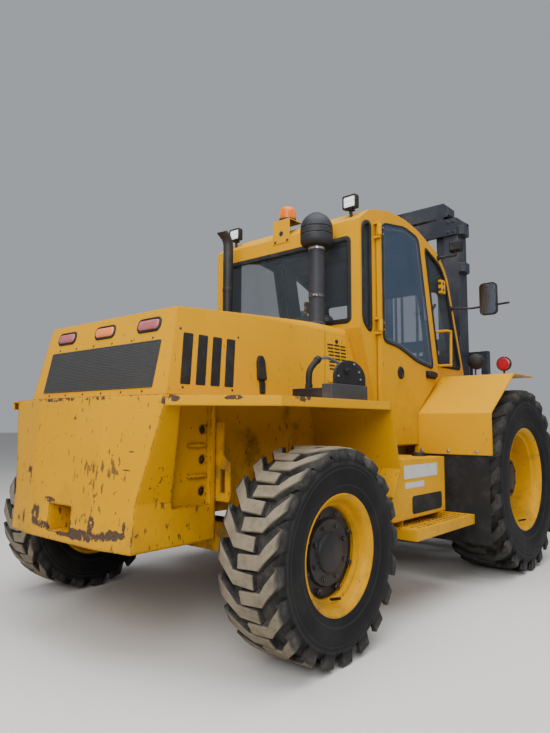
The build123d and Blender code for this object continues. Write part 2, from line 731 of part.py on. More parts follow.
# Rear axle: a steered beam with forked ends round the kingpins
yoke_z = 118
yoke_wall = 40
with BuildPart() as rear_axle:
    block((rear_x - 70, -640, rear_radius - 75), (rear_x + 70, 640, rear_radius + 75))
    block((rear_x - 139.7, -80, rear_radius - 40), (rear_x + 139.7, 80, rear_radius + 40))
    for side in both_sides:
        beside((rear_x - 60, rear_x + 60), (600, 680), side,
               (rear_radius - yoke_z - yoke_wall, rear_radius + yoke_z + yoke_wall))
        for low in (-yoke_z - yoke_wall, yoke_z):
            low_z = rear_radius + low
            beside((rear_x - 50, rear_x + 50), (640, kingpin_half), side, (low_z, low_z + yoke_wall))
            rod_z(50, rear_x, side * kingpin_half, low_z, low_z + yoke_wall, flats=roller_flats)
        rod_z(kingpin_radius, rear_x, side * kingpin_half, rear_radius - yoke_z - yoke_wall,
              rear_radius + yoke_z + yoke_wall, flats=bearing_flats)
save(rear_axle, "rear_axle")

# Knuckles turn on the kingpins and carry the rear wheels
stub_radius = 40
for side, name in ((1, "left"), (-1, "right")):
    with BuildPart() as knuckle:
        rod_z(48, rear_x, side * kingpin_half, rear_radius - yoke_z + 1, rear_radius + yoke_z - 1, flats=12)
        rod_y(70, rear_x, rear_radius, side * kingpin_half, side * (kingpin_half + 75), flats=12)
        rod_y(stub_radius, rear_x, rear_radius, side * (kingpin_half + 75), side * (rear_track_half + 40),
              flats=bearing_flats)
        rod_z(kingpin_radius + pin_gap, rear_x, side * kingpin_half, rear_radius - yoke_z, rear_radius + yoke_z,
              flats=bearing_flats, mode=Mode.SUBTRACT)
    save(knuckle, "knuckle_" + name)

# Wheels: flat-sided slices in a polar pattern, with outlines of radius and distance outboard
bead_ratio = 0.80            # share of the width between the beads
shoulder_ratio = 0.80
lug_reach_ratio = 0.98       # share of the half width that a lug spans, and where its top starts to slope
lug_slope_ratio = 0.84
lug_depth = 30
lug_wide = 62
lug_root = 12                # how far a lug's foot is sunk in the casing
disc_half = 8
flange_wall = 12
bead_clear = 10
hub_root_ratio = 0.35
hub_end_wall = 30


def tread_lug(half_wide, floor_radius, tip_radius, shift):
    """Slanting tread bar on one half of a tyre, from its middle line out to the shoulder."""
    foot = floor_radius - lug_root
    with BuildPart() as bar:
        with BuildSketch(Plane.YZ.offset(foot)):
            with BuildLine():
                Polyline((-(shift + lug_wide) / 2, 0), (-(shift - lug_wide) / 2, 0),
                         ((shift + lug_wide) / 2, half_wide * lug_reach_ratio),
                         ((shift - lug_wide) / 2, half_wide * lug_reach_ratio), close=True)
            make_face()
        extrude(amount=tip_radius - foot)
        extrude(to_extrude=side_face([
            (foot - 5, 0), (tip_radius, 0), (tip_radius, half_wide * lug_slope_ratio),
            (foot - 5, half_wide * lug_reach_ratio)], -shift - lug_wide),
            amount=2 * (shift + lug_wide), dir=left, mode=Mode.INTERSECT)
    return bar.part


# Columns: name, axle x, track half, radius, width, flange and seat radius, dish, hub radius and reach, bore,
# lugs a side and how far each slants round the tyre
wheel_table = (
    ("rear", rear_x, rear_track_half, rear_radius, rear_width, rear_flange_radius, rear_seat_radius, rear_dish,
     rear_hub_radius, rear_hub_reach, stub_radius, 20, 110),
    ("front", front_x, front_track_half, front_radius, front_width, front_flange_radius, front_seat_radius,
     front_dish, front_hub_radius, front_hub_reach, front_stub_radius, 22, 130),
)
for axle, axle_x, track_half, radius, width, flange_r, seat_r, dish, hub_r, hub_reach, bore, lugs, shift in wheel_table:
    half = width / 2
    bead = half * bead_ratio
    floor_radius = radius - lug_depth
    tyre_right_side = [
        (seat_r + seat_gap, bead), ((flange_r + radius) / 2, half),
        (floor_radius, half * shoulder_ratio),
    ]
    tyre_left_side = [(r, -h) for r, h in reversed(tyre_right_side)]
    tyre_slice = ring_slice(tyre_right_side + tyre_left_side, lugs)
    tip_radius = (radius ** 2 - ((shift + lug_wide) / 2) ** 2) ** 0.5
    lug = tread_lug(half, floor_radius, tip_radius - 1, shift)
    other_lug = mirror(lug, about=Plane.XY, mode=Mode.PRIVATE)
    barrel_r = seat_r - rim_wall
    edge = bead + bead_clear + flange_wall
    rim_slice = ring_slice([
        (seat_r, bead + bead_clear), (flange_r - 4, bead + bead_clear), (barrel_r, edge),
        (barrel_r, dish + disc_half), (hub_r - 10, dish + disc_half), (hub_r - 10, dish - disc_half),
        (barrel_r, dish - disc_half), (barrel_r, -edge), (flange_r - 4, -bead - bead_clear),
        (seat_r, -bead - bead_clear),
    ], lugs)
    for side, name in ((1, "left"), (-1, "right")):
        centre = Plane(origin=(axle_x, side * track_half, radius), x_dir=(1, 0, 0), z_dir=(0, -1, 0))
        with BuildPart() as tyre:
            with Locations(centre):
                with PolarLocations(0, lugs):
                    add(tyre_slice)
                    add(lug)
                with PolarLocations(0, lugs, start_angle=180 / lugs):
                    add(other_lug)
        save(tyre, "tyre_" + axle + "_" + name)
        outboard = Plane(origin=(axle_x, side * track_half, radius), x_dir=(1, 0, 0), z_dir=(0, side, 0))
        with BuildPart() as rim:
            with Locations(outboard):
                with PolarLocations(0, lugs):
                    add(rim_slice)
            hub_root = -half * hub_root_ratio
            rod_y(hub_r, axle_x, radius, side * (track_half + hub_root), side * (track_half + hub_reach),
                  flats=bearing_flats)
            rod_y(bore + pin_gap, axle_x, radius, side * (track_half + hub_root - 1),
                  side * (track_half + hub_reach - hub_end_wall), flats=bearing_flats, mode=Mode.SUBTRACT)
        save(rim, "rim_" + axle + "_" + name)

# Outer mast: channel rails open towards each other, tied behind the inner mast
mast_x = front_x + rail_rear
rail_front = mast_x + rail_depth
track_x = mast_x + rail_depth / 2
tilt_eye_x = front_x + 280
tilt_eye_gap = 10
tie_front = mast_x + 18
barrel_x = front_x + 450
barrel_y = 200
barrel_radius = 38
rod_radius = 25
rod_top = inner_top_z - 130
barrel_top = rod_top - 320
shelf_top = 130
lift_stroke = 1850
collar_high = 80
collar_points = [
    (mast_x, rail_half - 2), (mast_x, rail_half + 20), (mast_x + 25, rail_half + 52),
    (rail_front - 60, rail_half + 52), (rail_front - 15, rail_half + 20), (rail_front - 15, rail_half - 2),
]
guide_deep = 64
guide_high = 120
guide_wall = 12
guide_in = rail_half - 95
with BuildPart() as outer_mast:
    block((mast_x, rail_half - rail_flange, rail_foot_z), (rail_front, rail_half, outer_top_z))
    block((mast_x + rail_wall, rail_half - rail_flange, rail_foot_z),
          (rail_front - rail_wall, rail_half - rail_wall, outer_top_z), mode=Mode.SUBTRACT)
    ear_in = frame_half + 5
    block((front_x + mast_pivot_x, ear_in, mast_pivot_z - 60), (mast_x, rail_half - 5, mast_pivot_z + 60))
    rod_y(60, front_x + mast_pivot_x, mast_pivot_z, ear_in, rail_half - 5, flats=bearing_flats)
    rod_y(mast_pin_radius + pin_gap, front_x + mast_pivot_x, mast_pivot_z, frame_half, rail_half, flats=bearing_flats,
          mode=Mode.SUBTRACT)
    # stiffening collars round the rail
    for low_z in (2385, outer_top_z - 150):
        with BuildSketch(Plane.XY.offset(low_z)):
            with BuildLine():
                Polyline(*collar_points, close=True)
            make_face()
        extrude(amount=collar_high)
    # hose guide ahead of each rail's top
    guide_low_z = outer_top_z - guide_high
    beside((rail_front - 1, rail_front + guide_deep), (guide_in, guide_in + 100), 1, (guide_low_z, outer_top_z))
    beside((rail_front + guide_wall, rail_front + guide_deep - guide_wall), (guide_in - 1, guide_in + 101), 1,
           (guide_low_z + guide_wall, outer_top_z - guide_wall), mode=Mode.SUBTRACT)
    # ties across the back, seated on the rails
    tie_half = rail_half - rail_flange - seat_gap
    tie_rear = mast_x - seat_gap - 20
    for low_z, high_z in ((150, 330), (760, 920), (1700, 1800), (outer_top_z - 150, outer_top_z)):
        block((tie_rear, 0, low_z), (mast_x - seat_gap, rail_half, high_z))
        block((mast_x - seat_gap, 0, low_z), (tie_front, tie_half, high_z))
    for ear_y in (tilt_y - 48, tilt_y + 30):
        block((tilt_eye_x - 26, ear_y, tilt_pin_z - 32), (mast_x - 18, ear_y + 18, tilt_pin_z + 32))
    rod_y(14, tilt_eye_x, tilt_pin_z, tilt_y - 48, tilt_y + 48, flats=8)
    mirror(about=Plane.XZ)
    block((mast_x - seat_gap, -245, shelf_top - 20), (barrel_x + 45, 245, shelf_top))
    block((tie_rear, -245, shelf_top - 20), (mast_x - seat_gap, 245, 160))
save(outer_mast, "outer_mast")

with BuildPart() as lift_barrels:
    for side in both_sides:
        rod_z(barrel_radius, barrel_x, side * barrel_y, shelf_top, barrel_top, flats=bearing_flats)
        rod_z(rod_radius + pin_gap, barrel_x, side * barrel_y, shelf_top + 40, barrel_top, flats=roller_flats,
              mode=Mode.SUBTRACT)
save(lift_barrels, "lift_barrels")

# Inner mast runs in the outer rails on rollers
inner_x = track_x - inner_depth / 2
inner_wall = 15
roller_radius = rail_depth / 2 - rail_wall - roller_gap
pulley_x = front_x + 480
pulley_z = inner_top_z - 105
pulley_radius = 54
chain_y = 110
head_half = inner_half + 48
head_corner = 45
head_foot_corner = 18
head_points = [
    (-head_half, rod_top + head_foot_corner), (-head_half, inner_top_z - head_corner),
    (head_corner - head_half, inner_top_z), (head_half - head_corner, inner_top_z),
    (head_half, inner_top_z - head_corner), (head_half, rod_top + head_foot_corner),
    (head_half - head_foot_corner, rod_top), (head_foot_corner - head_half, rod_top),
]
with BuildPart() as inner_mast:
    block((inner_x, inner_half - inner_flange, 125), (inner_x + inner_depth, inner_half, inner_top_z))
    block((inner_x + inner_wall, inner_half - inner_flange, 125),
          (inner_x + inner_depth - inner_wall, inner_half - 20, inner_top_z), mode=Mode.SUBTRACT)
    for z in (210, 620):
        rod_y(roller_radius, track_x, z, inner_half - 5, rail_half - rail_wall - 5, flats=roller_flats)
    mirror(about=Plane.XZ)
    # crosshead over the outer rails
    extrude(to_extrude=cross_face(head_points, inner_x), amount=inner_depth, dir=ahead)
    for low_z in (160, 1500):
        block((inner_x, -inner_half + 10, low_z), (inner_x + 12, inner_half - 10, low_z + 120))
    for side in both_sides:
        beside((inner_x + 32, inner_x + inner_depth + 5), (chain_y - 26, chain_y + 26), side,
               (rod_top - 5, inner_top_z + 5), mode=Mode.SUBTRACT)
        rod_y(pulley_radius - seat_gap, pulley_x, pulley_z, side * (chain_y - 15), side * (chain_y + 15),
              flats=roller_flats)
        rod_y(16, pulley_x, pulley_z, side * (chain_y - 30), side * (chain_y + 30), flats=hinge_flats)
save(inner_mast, "inner_mast")

with BuildPart() as lift_rods:
    for side in both_sides:
        rod_z(rod_radius, barrel_x, side * barrel_y, rod_top - lift_stroke - 150, rod_top,
              flats=roller_flats)
save(lift_rods, "lift_rods")

chain_wall = 14
with BuildPart() as lift_chains:
    for side in both_sides:
        with BuildSketch(Plane.XZ.offset(-side * chain_y)):
            with Locations((pulley_x, pulley_z)):
                RegularPolygon(pulley_radius + chain_wall, roller_flats)
                RegularPolygon(pulley_radius, roller_flats, mode=Mode.SUBTRACT)
            with Locations((pulley_x, pulley_z - 100)):
                Rectangle(300, 200, mode=Mode.SUBTRACT)
            for run_x, foot_z in ((pulley_x + pulley_radius, 720), (pulley_x - pulley_radius - chain_wall, 420)):
                with Locations((run_x + chain_wall / 2, (foot_z + pulley_z) / 2)):
                    Rectangle(chain_wall, pulley_z - foot_z)
        extrude(amount=14, both=True)
save(lift_chains, "lift_chains")

# Carriage: two bars on side plates with rollers, and the load's backrest
bar_x = front_x + 620
bar_deep = 40
bar_half = 650
bar_low_z = 172
bar_high = 76
bar_span = 508               # over both bars, a standard carriage
plate_y = 255
plate_wide = 70
guide_radius = inner_depth / 2 - inner_wall - roller_gap
backrest_z = 1700
with BuildPart() as carriage:
    for side in both_sides:
        beside((front_x + 402, bar_x), (plate_y, plate_y + plate_wide), side, (170, bar_low_z + bar_span - 4))
        for z in (240, 610):
            rod_y(guide_radius, track_x, z, side * (plate_y + plate_wide - 5), side * (inner_half - 25),
                  flats=roller_flats)
        beside((bar_x, bar_x + 60), (bar_half - 30, bar_half + 30), side, (130, backrest_z))
    for low_z in (bar_low_z, bar_low_z + bar_span - bar_high):
        block((bar_x, -bar_half, low_z), (bar_x + bar_deep, bar_half, low_z + bar_high))
    block((bar_x + 10, -bar_half, backrest_z - 60), (bar_x + bar_deep, bar_half, backrest_z))
    for y in (-520, -205, 0, 205, 520):
        block((bar_x + 14, y - 12, 690), (bar_x + bar_deep - 4, y + 12, backrest_z - 50))
save(carriage, "carriage")

fork_y = 330
fork_wide = 150
fork_thick = 60
fork_z = 20
fork_face = front_x + fork_face_reach
fork_heel = fork_face - fork_thick + seat_gap
fork_hook_z = 680 + seat_gap
fork_points = [
    (fork_heel, fork_z), (fork_face + 250, fork_z), (fork_face + fork_length, fork_z + fork_thick - 12),
    (fork_face + fork_length, fork_z + fork_thick), (fork_face, fork_z + fork_thick), (fork_face, fork_hook_z + 40),
    (fork_heel - bar_deep - 8, fork_hook_z + 40), (fork_heel - bar_deep - 8, fork_hook_z), (fork_heel, fork_hook_z),
]
with BuildPart() as forks:
    for side in both_sides:
        extrude(to_extrude=side_face(fork_points, side * fork_y - fork_wide / 2), amount=fork_wide, dir=left)
save(forks, "forks")

# Tilt cylinders
tilt_barrel_radius = 44
tilt_rod_radius = 24
with BuildPart() as tilt_barrels:
    for side in both_sides:
        y = side * tilt_y
        rod_y(38, tilt_pin_x, tilt_pin_z, y - 25, y + 25, flats=roller_flats)
        rod_x(tilt_barrel_radius, y, tilt_pin_z, tilt_pin_x + 34, tilt_pin_x + 640, flats=roller_flats)
        rod_x(tilt_rod_radius + pin_gap, y, tilt_pin_z, tilt_pin_x + 120, tilt_pin_x + 641, flats=roller_flats,
              mode=Mode.SUBTRACT)
        rod_y(tilt_pin_radius + pin_gap, tilt_pin_x, tilt_pin_z, y - 26, y + 26, flats=roller_flats,
              mode=Mode.SUBTRACT)
save(tilt_barrels, "tilt_barrels")

with BuildPart() as tilt_rods:
    for side in both_sides:
        y = side * tilt_y
        rod_x(tilt_rod_radius, y, tilt_pin_z, tilt_pin_x + 300, tilt_eye_x - 10, flats=roller_flats)
        rod_y(36, tilt_eye_x, tilt_pin_z, y - 24, y + 24, flats=roller_flats)
        rod_y(14 + tilt_eye_gap, tilt_eye_x, tilt_pin_z, y - 26, y + 26, flats=8, mode=Mode.SUBTRACT)
save(tilt_rods, "tilt_rods")

# Exhaust on the left, air intake with its pre-cleaner on the right
stack_x = front_x + cab_rear - 155
exhaust_y = hood_top_half - 168
intake_y = 123 - hood_top_half
exhaust_radius = 37
intake_radius = 51
stack_foot_z = hood_front_z + seat_gap
exhaust_bend_z = 2360
with BuildPart() as exhaust:
    with BuildLine():
        Polyline((stack_x, exhaust_y, stack_foot_z), (stack_x, exhaust_y, exhaust_bend_z),
                 (stack_x - 22, exhaust_y, exhaust_bend_z + 45), (stack_x - 70, exhaust_y, exhaust_bend_z + 78))
    with BuildSketch(Plane.XY.offset(stack_foot_z)):
        with Locations((stack_x, exhaust_y)):
            RegularPolygon(exhaust_radius, 10)
            RegularPolygon(exhaust_radius - 3, 10, mode=Mode.SUBTRACT)
    sweep(transition=Transition.RIGHT)
save(exhaust, "exhaust")

bowl_foot_z = 2190
bowl_top_z = 2412
bowl_high = bowl_top_z - bowl_foot_z
cleaner_profile = [
    (0, stack_foot_z), (intake_radius, stack_foot_z), (intake_radius, bowl_foot_z),
    (intake_radius + 41, bowl_foot_z), (intake_radius + 55, bowl_foot_z + bowl_high * 0.12),
    (intake_radius + 55, bowl_foot_z + bowl_high * 0.63), (intake_radius + 28, bowl_foot_z + bowl_high * 0.88),
    (intake_radius - 20, bowl_top_z), (0, bowl_top_z),
]
cleaner_slice = ring_slice(cleaner_profile, small_flats)
with BuildPart() as pre_cleaner:
    with Locations((stack_x, intake_y)):
        with PolarLocations(0, small_flats):
            add(cleaner_slice)
save(pre_cleaner, "pre_cleaner")

# Beacon, work lights, lamps and mirrors
beacon_x = front_x + cab_rear + 68
beacon_foot_z = 2500
beacon_radius = 66
beacon_high = 115
beacon_profile = [
    (0, beacon_foot_z), (beacon_radius, beacon_foot_z), (beacon_radius, beacon_foot_z + beacon_high * 0.74),
    (beacon_radius * 0.8, beacon_foot_z + beacon_high * 0.93), (beacon_radius * 0.45, beacon_foot_z + beacon_high),
    (0, beacon_foot_z + beacon_high),
]
beacon_slice = ring_slice(beacon_profile, small_flats)
with BuildPart() as beacon:
    with Locations((beacon_x, 0)):
        with PolarLocations(0, small_flats):
            add(beacon_slice)
save(beacon, "beacon")

# Columns: x from the front axle, y, z of a rear light's middle, z of its foot
light_table = ((-1345, -550, 2510, 2380), (-1345, 510, 2510, 2380))
front_light_x = front_x - 100
front_light_y = 725
front_light_z = 2470
light_half = 53
arm_foot_z = 2350
arm_radius = 10
with BuildPart() as work_lights:
    for x, y, z, foot_z in light_table:
        block((front_x + x - 30, y - 55, z - 48), (front_x + x + 30, y + 55, z + 48))
        rod_z(10, front_x + x, y, foot_z, z, flats=6)
    extrude(to_extrude=cab_face(0, -cab_half), amount=2 * cab_half, dir=left, mode=Mode.SUBTRACT)
    for side in both_sides:
        # front lights stand out beside the brow on bent arms
        arm_foot = (front_x - 270, side * (cab_half + seat_gap), arm_foot_z)
        with BuildLine():
            Polyline(arm_foot, (arm_foot[0], side * (front_light_y - 20), arm_foot_z),
                     (front_light_x, side * front_light_y, arm_foot_z + 45),
                     (front_light_x, side * front_light_y, front_light_z))
        with BuildSketch(Plane(origin=arm_foot, z_dir=(0, side, 0))):
            RegularPolygon(arm_radius, 6)
        sweep(transition=Transition.RIGHT)
        beside((front_light_x - 28, front_light_x + 28), (front_light_y - light_half, front_light_y + light_half),
               side, (front_light_z - 46, front_light_z + 46))
save(work_lights, "work_lights")

mirror_x = front_x + 10
mirror_y = 935
mirror_z = 2032
mirror_arm_z = 1975
mirror_arm_end = 1090
mirror_arm_radius = 9
mirror_wide = 138
mirror_high = 256
mirror_corner = 36
mirror_deep = 46
with BuildPart() as mirrors:
    for side in both_sides:
        foot = (front_x - 60, side * (cab_half + seat_gap), mirror_arm_z)
        with BuildLine():
            Polyline(foot, (foot[0], side * (cab_half + 50), mirror_arm_z), (mirror_x + 5, side * 790, mirror_arm_z),
                     (mirror_x + 5, side * mirror_arm_end, mirror_arm_z + 10))
        with BuildSketch(Plane(origin=foot, z_dir=(0, side, 0))):
            RegularPolygon(mirror_arm_radius, 6)
        sweep(transition=Transition.RIGHT)
        with BuildSketch(Plane.YZ.offset(mirror_x - 20)) as glass_shape:
            with Locations((side * mirror_y, mirror_z)):
                Rectangle(mirror_wide, mirror_high)
            chamfer(glass_shape.vertices(), length=mirror_corner)
        extrude(amount=mirror_deep)
save(mirrors, "mirrors")

fender_top_z = 1416
with BuildPart() as signal_lamps:
    for side in both_sides:
        rod_x(54, side * 1100, 1495, front_x - 185, front_x - 155, flats=12)
        rod_z(8, front_x - 170, side * 1100, fender_top_z, 1450, flats=hinge_flats)
save(signal_lamps, "signal_lamps")

with BuildPart() as headlights:
    for side in both_sides:
        rod_x(65, side * 780, 1556, front_x + 60, front_x + 130, flats=12)
        rod_z(8, front_x + 90, side * 780, fender_top_z, 1500, flats=hinge_flats)
save(headlights, "headlights")

with BuildPart() as battery_box:
    block((rear_x + 150, -960, ledge_z + seat_gap), (rear_x + 480, -700, ledge_z + 60))
    block((rear_x + 300, -940, ledge_z + 60), (rear_x + 480, -720, ledge_z + 80))
    rod_y(75, rear_x + 380, ledge_z + 150, -850, -830, flats=12)
    block((rear_x + 340, -850, ledge_z + 70), (rear_x + 420, -830, ledge_z + 150))
save(battery_box, "battery_box")

with BuildPart() as control_levers:
    block((front_x - 660, -400, cab_floor_z + cab_wall), (front_x - 500, -300, 1330))
    for lever_x in (front_x - 640, front_x - 600, front_x - 560):
        rod_z(7, lever_x, -350, 1330, 1480, flats=6)
        rod_z(18, lever_x, -350, 1465, 1500, flats=hinge_flats)
save(control_levers, "control_levers")
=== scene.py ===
# Looks of a rough terrain forklift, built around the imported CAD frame. Metres, +X ahead, +Y left, +Z up.
import math

import bmesh
import bpy
from mathutils import Matrix, Vector


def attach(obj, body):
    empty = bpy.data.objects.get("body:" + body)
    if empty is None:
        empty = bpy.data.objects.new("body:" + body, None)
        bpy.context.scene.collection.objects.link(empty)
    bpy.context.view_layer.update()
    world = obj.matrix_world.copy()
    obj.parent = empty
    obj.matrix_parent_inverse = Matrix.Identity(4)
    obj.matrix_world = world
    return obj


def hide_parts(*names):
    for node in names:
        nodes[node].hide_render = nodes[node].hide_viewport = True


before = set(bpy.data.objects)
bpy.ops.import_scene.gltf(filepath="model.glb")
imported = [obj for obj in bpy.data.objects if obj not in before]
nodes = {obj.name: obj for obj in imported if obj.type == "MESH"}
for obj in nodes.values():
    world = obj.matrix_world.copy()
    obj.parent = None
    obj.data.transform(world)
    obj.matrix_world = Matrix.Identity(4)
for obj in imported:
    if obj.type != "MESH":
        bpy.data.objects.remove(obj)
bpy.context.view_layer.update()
rearX = -1.7475          # rear axle
frontX = 0.5625          # front axle
cabBackX = frontX - 1.405
sides = (("left", 1), ("right", -1))
print("frame loaded:", len(nodes), "nodes")

# Shader maths


class Flow:
    # one socket of a material, with arithmetic
    def __init__(self, finish, socket):
        self.finish = finish
        self.socket = socket

    def maths(self, operation, other=0.0, flip=False):
        pair = (other, self) if flip else (self, other)
        return self.finish.node("Math", {"operation": operation}, {0: pair[0], 1: pair[1]})[0]

    def __add__(self, other):
        return self.maths("ADD", other)

    __radd__ = __add__

    def __sub__(self, other):
        return self.maths("SUBTRACT", other)

    def __rsub__(self, other):
        return self.maths("SUBTRACT", other, True)

    def __mul__(self, other):
        return self.maths("MULTIPLY", other)

    __rmul__ = __mul__

    def __pow__(self, other):
        return self.maths("POWER", other)

    def least(self, other):
        return self.maths("MINIMUM", other)

    def most(self, other):
        return self.maths("MAXIMUM", other)


class Finish:
    # one material and the nodes that feed its shader
    def __init__(self, name, **fixed):
        self.material = bpy.data.materials.new(name)
        self.material.use_nodes = True
        self.tree = self.material.node_tree
        self.shader = self.tree.nodes["Principled BSDF"]
        self.where = self.node("TexCoord")["Object"]
        for socket, value in fixed.items():
            self.shader.inputs[socket.replace("_", " ")].default_value = value

    def put(self, socket, value):
        if isinstance(value, Flow):
            self.tree.links.new(value.socket, socket)
        else:
            socket.default_value = value

    def node(self, kind, settings=None, values=None):
        made = self.tree.nodes.new("ShaderNode" + kind)
        for name, value in (settings or {}).items():
            setattr(made, name, value)
        for key, value in (values or {}).items():
            self.put(made.inputs[key], value)
        byPlace = {i: Flow(self, s) for i, s in enumerate(made.outputs)}
        return {**byPlace, **{s.name: Flow(self, s) for s in made.outputs}}

    def noise(self, scale, detail=3.0, roughness=0.55, stretch=None, shift=(0, 0, 0)):
        where = self.where
        if stretch or any(shift):
            where = self.node("Mapping", {}, {"Vector": where, "Scale": stretch or (1, 1, 1), "Location": shift})[0]
        return self.node("TexNoise", {}, {"Vector": where, "Scale": scale, "Detail": detail, "Roughness": roughness})[0]

    def cells(self, scale):
        return self.node("TexVoronoi", {"feature": "F1"}, {"Vector": self.where, "Scale": scale})["Distance"]

    def rise(self, value, low, high):
        # 0 below low, 1 above high, smooth between
        return self.node("MapRange", {"interpolation_type": "SMOOTHSTEP"},
                         {"Value": value, "From Min": low, "From Max": high, "To Min": 0.0, "To Max": 1.0})[0]

    def vector(self, operation, first, second, result="Vector"):
        return self.node("VectorMath", {"operation": operation}, {0: first, 1: second})[result]

    def axis(self, name):
        return self.node("SeparateXYZ", {}, {0: self.where})[name]

    def mix(self, share, first, second):
        def colour(c):
            return c if isinstance(c, Flow) else (*c, 1)
        made = self.node("Mix", {"data_type": "RGBA"}, {})
        mixer = self.tree.nodes[-1]
        self.put(mixer.inputs[0], share)
        self.put(mixer.inputs[6], colour(first))
        self.put(mixer.inputs[7], colour(second))
        return made[2]

    def blob(self, middle, reach):
        # 1 at a place, falling to 0 at its reach along each axis
        away = self.vector("DIVIDE", self.vector("SUBTRACT", self.where, middle), reach)
        length = self.node("VectorMath", {"operation": "LENGTH"}, {0: away})["Value"]
        return 1 - self.rise(length, 0.45, 1.0)

    def edges(self, reach, low=0.02, high=0.20):
        # 1 on worn outer and inner edges
        alike = self.vector("DOT_PRODUCT", self.softened(reach), self.node("NewGeometry")["Normal"], "Value")
        return self.rise(1 - alike, low, high)

    def softened(self, reach):
        return self.node("Bevel", {"samples": 4}, {"Radius": reach})[0]

    def bump(self, height, strength, distance=0.001, soft=0.0):
        values = {"Height": height, "Strength": strength, "Distance": distance}
        if soft:
            values["Normal"] = self.softened(soft)
        self.put(self.shader.inputs["Normal"], self.node("Bump", {}, values)[0])

    def set(self, **values):
        for name, value in values.items():
            self.put(self.shader.inputs[name.replace("_", " ")], value)


yellowLook = {
    "paint": (0.50, 0.236, 0.0),
    "faded": (0.58, 0.285, 0.0),
    "primer": (0.050, 0.040, 0.034),
    "rust": (0.095, 0.048, 0.028),
    "dirt": (0.13, 0.080, 0.028),
}


def yellowFinish(name, chips=0.35, dirt=0.35, fade=0.35, wear=0.5, low=0.5, high=1.3, gloss=0.38, edge=0.006, soft=0.0, torn=(), flakes=(), insideShade=None):
    # torn lists places where paint has come off: middle, reach and how much
    look = yellowLook
    made = Finish(name, Coat_Roughness=0.15, Specular_IOR_Level=0.11, Specular_Tint=(1, 0.78, 0.25, 1))
    cloud = made.noise(1.7, 4)
    grain = made.noise(46, 5, 0.7)
    fine = made.noise(160, 3, 0.6)
    height = made.axis("Z")
    paint = made.mix(made.rise(cloud, 0.35, 0.7) * fade, look["paint"], look["faded"])
    lowDown = 1 - made.rise(height, low, high)
    soil = made.rise(made.noise(5.5, 6, 0.65) + lowDown * 0.22 + grain * 0.10, 0.62, 0.92) * dirt
    streak = made.rise(made.noise(24, 4, 0.6, (1, 1, 0.10)), 0.60, 0.80) * dirt * 0.35
    soil = (soil + streak).least(1.0)
    paint = made.mix(soil, paint, look["dirt"])
    worn = made.edges(edge)
    patch = made.rise(made.noise(3.1, 3, 0.5, shift=(3, 1, 2)) + lowDown * 0.10, 0.50, 0.72)
    chipField = made.noise(30, 6, 0.72, shift=(7, 0, 4)) + patch * 0.06 * chips + worn * 0.22 * wear
    for middle, reach, much in torn:
        chipField = chipField + made.blob(middle, reach) * much
    chip = made.rise(chipField, 0.725 - 0.07 * chips, 0.737 - 0.07 * chips)
    halo = made.rise(chipField, 0.70 - 0.07 * chips, 0.740 - 0.07 * chips)
    dripField = made.noise(34, 3, 0.55, (1.3, 1.3, 0.50), (2, 5, 1)) + patch * 0.05
    for middle, reach, much in flakes:
        dripField = dripField + made.blob(middle, reach) * much
    drip = made.rise(dripField, 0.715 - 0.05 * chips, 0.73 - 0.05 * chips) * (0.4 + 0.6 * chips)
    scratch = made.rise(made.noise(11, 2, 0.5, (0.6, 0.6, 9), (2, 5, 1)), 0.735, 0.76) * patch * chips
    bare = (chip + drip + scratch * 0.8).least(1.0)
    paint = made.mix(halo * 0.5, paint, look["rust"])
    metal = made.mix(made.rise(fine, 0.45, 0.6), look["primer"], look["rust"])
    paint = made.mix(bare, paint, metal)
    if insideShade:
        # faces that look at a middle inside the cab are coloured near black: painted shade inside the cab
        middle, widest = insideShade
        inward = made.vector("SUBTRACT", middle, made.where)
        facing = made.vector("DOT_PRODUCT", made.node("TexCoord")["Normal"], inward, "Value")
        across = made.axis("Y")
        inside = made.rise(facing, 0.02, 0.05) * (1 - made.rise((across * across) ** 0.5, widest - 0.002, widest))
        inside = inside * made.rise(made.axis("X"), frontX - 1.404, frontX - 1.400)
        paint = made.mix(inside, paint, (0.020, 0.020, 0.022))
    made.set(Base_Color=paint)
    made.set(Roughness=(soil * 0.35 + bare * 0.4 + cloud * 0.08 + (gloss - 0.04)).least(0.95))
    made.set(Coat_Weight=(0.05 - soil * 0.05 - bare * 0.05).most(0.0))
    made.bump(fine * 0.12 + grain * 0.12 - bare * 1.2 - soil * 0.1, 0.25, 0.0012, soft or edge)
    return made.material


def darkFinish(name, colour, rough=0.42, dust=0.35, chips=0.2, metal=0.0, edge=0.004, dustColour=(0.30, 0.26, 0.20)):
    made = Finish(name, Specular_IOR_Level=0.26)
    cloud = made.noise(4.2, 5, 0.6)
    grain = made.noise(60, 5, 0.7)
    worn = made.edges(edge)
    film = made.rise(cloud + grain * 0.18, 0.48, 0.86) * dust
    base = made.mix(made.rise(made.noise(2.0), 0.3, 0.7), colour, tuple(c * 1.35 + 0.004 for c in colour))
    base = made.mix(film, base, dustColour)
    chip = made.rise(made.noise(34, 6, 0.7) + worn * 0.24, 0.74 - chips * 0.08, 0.77 - chips * 0.08)
    base = made.mix(chip, base, (0.17, 0.12, 0.09))
    made.set(Base_Color=base, Metallic=(1 - film) * metal, Roughness=(film * 0.4 + grain * 0.12 + rough).least(0.95))
    made.bump(grain * 0.4 - chip * 0.6, 0.22, 0.001, edge)
    return made.material


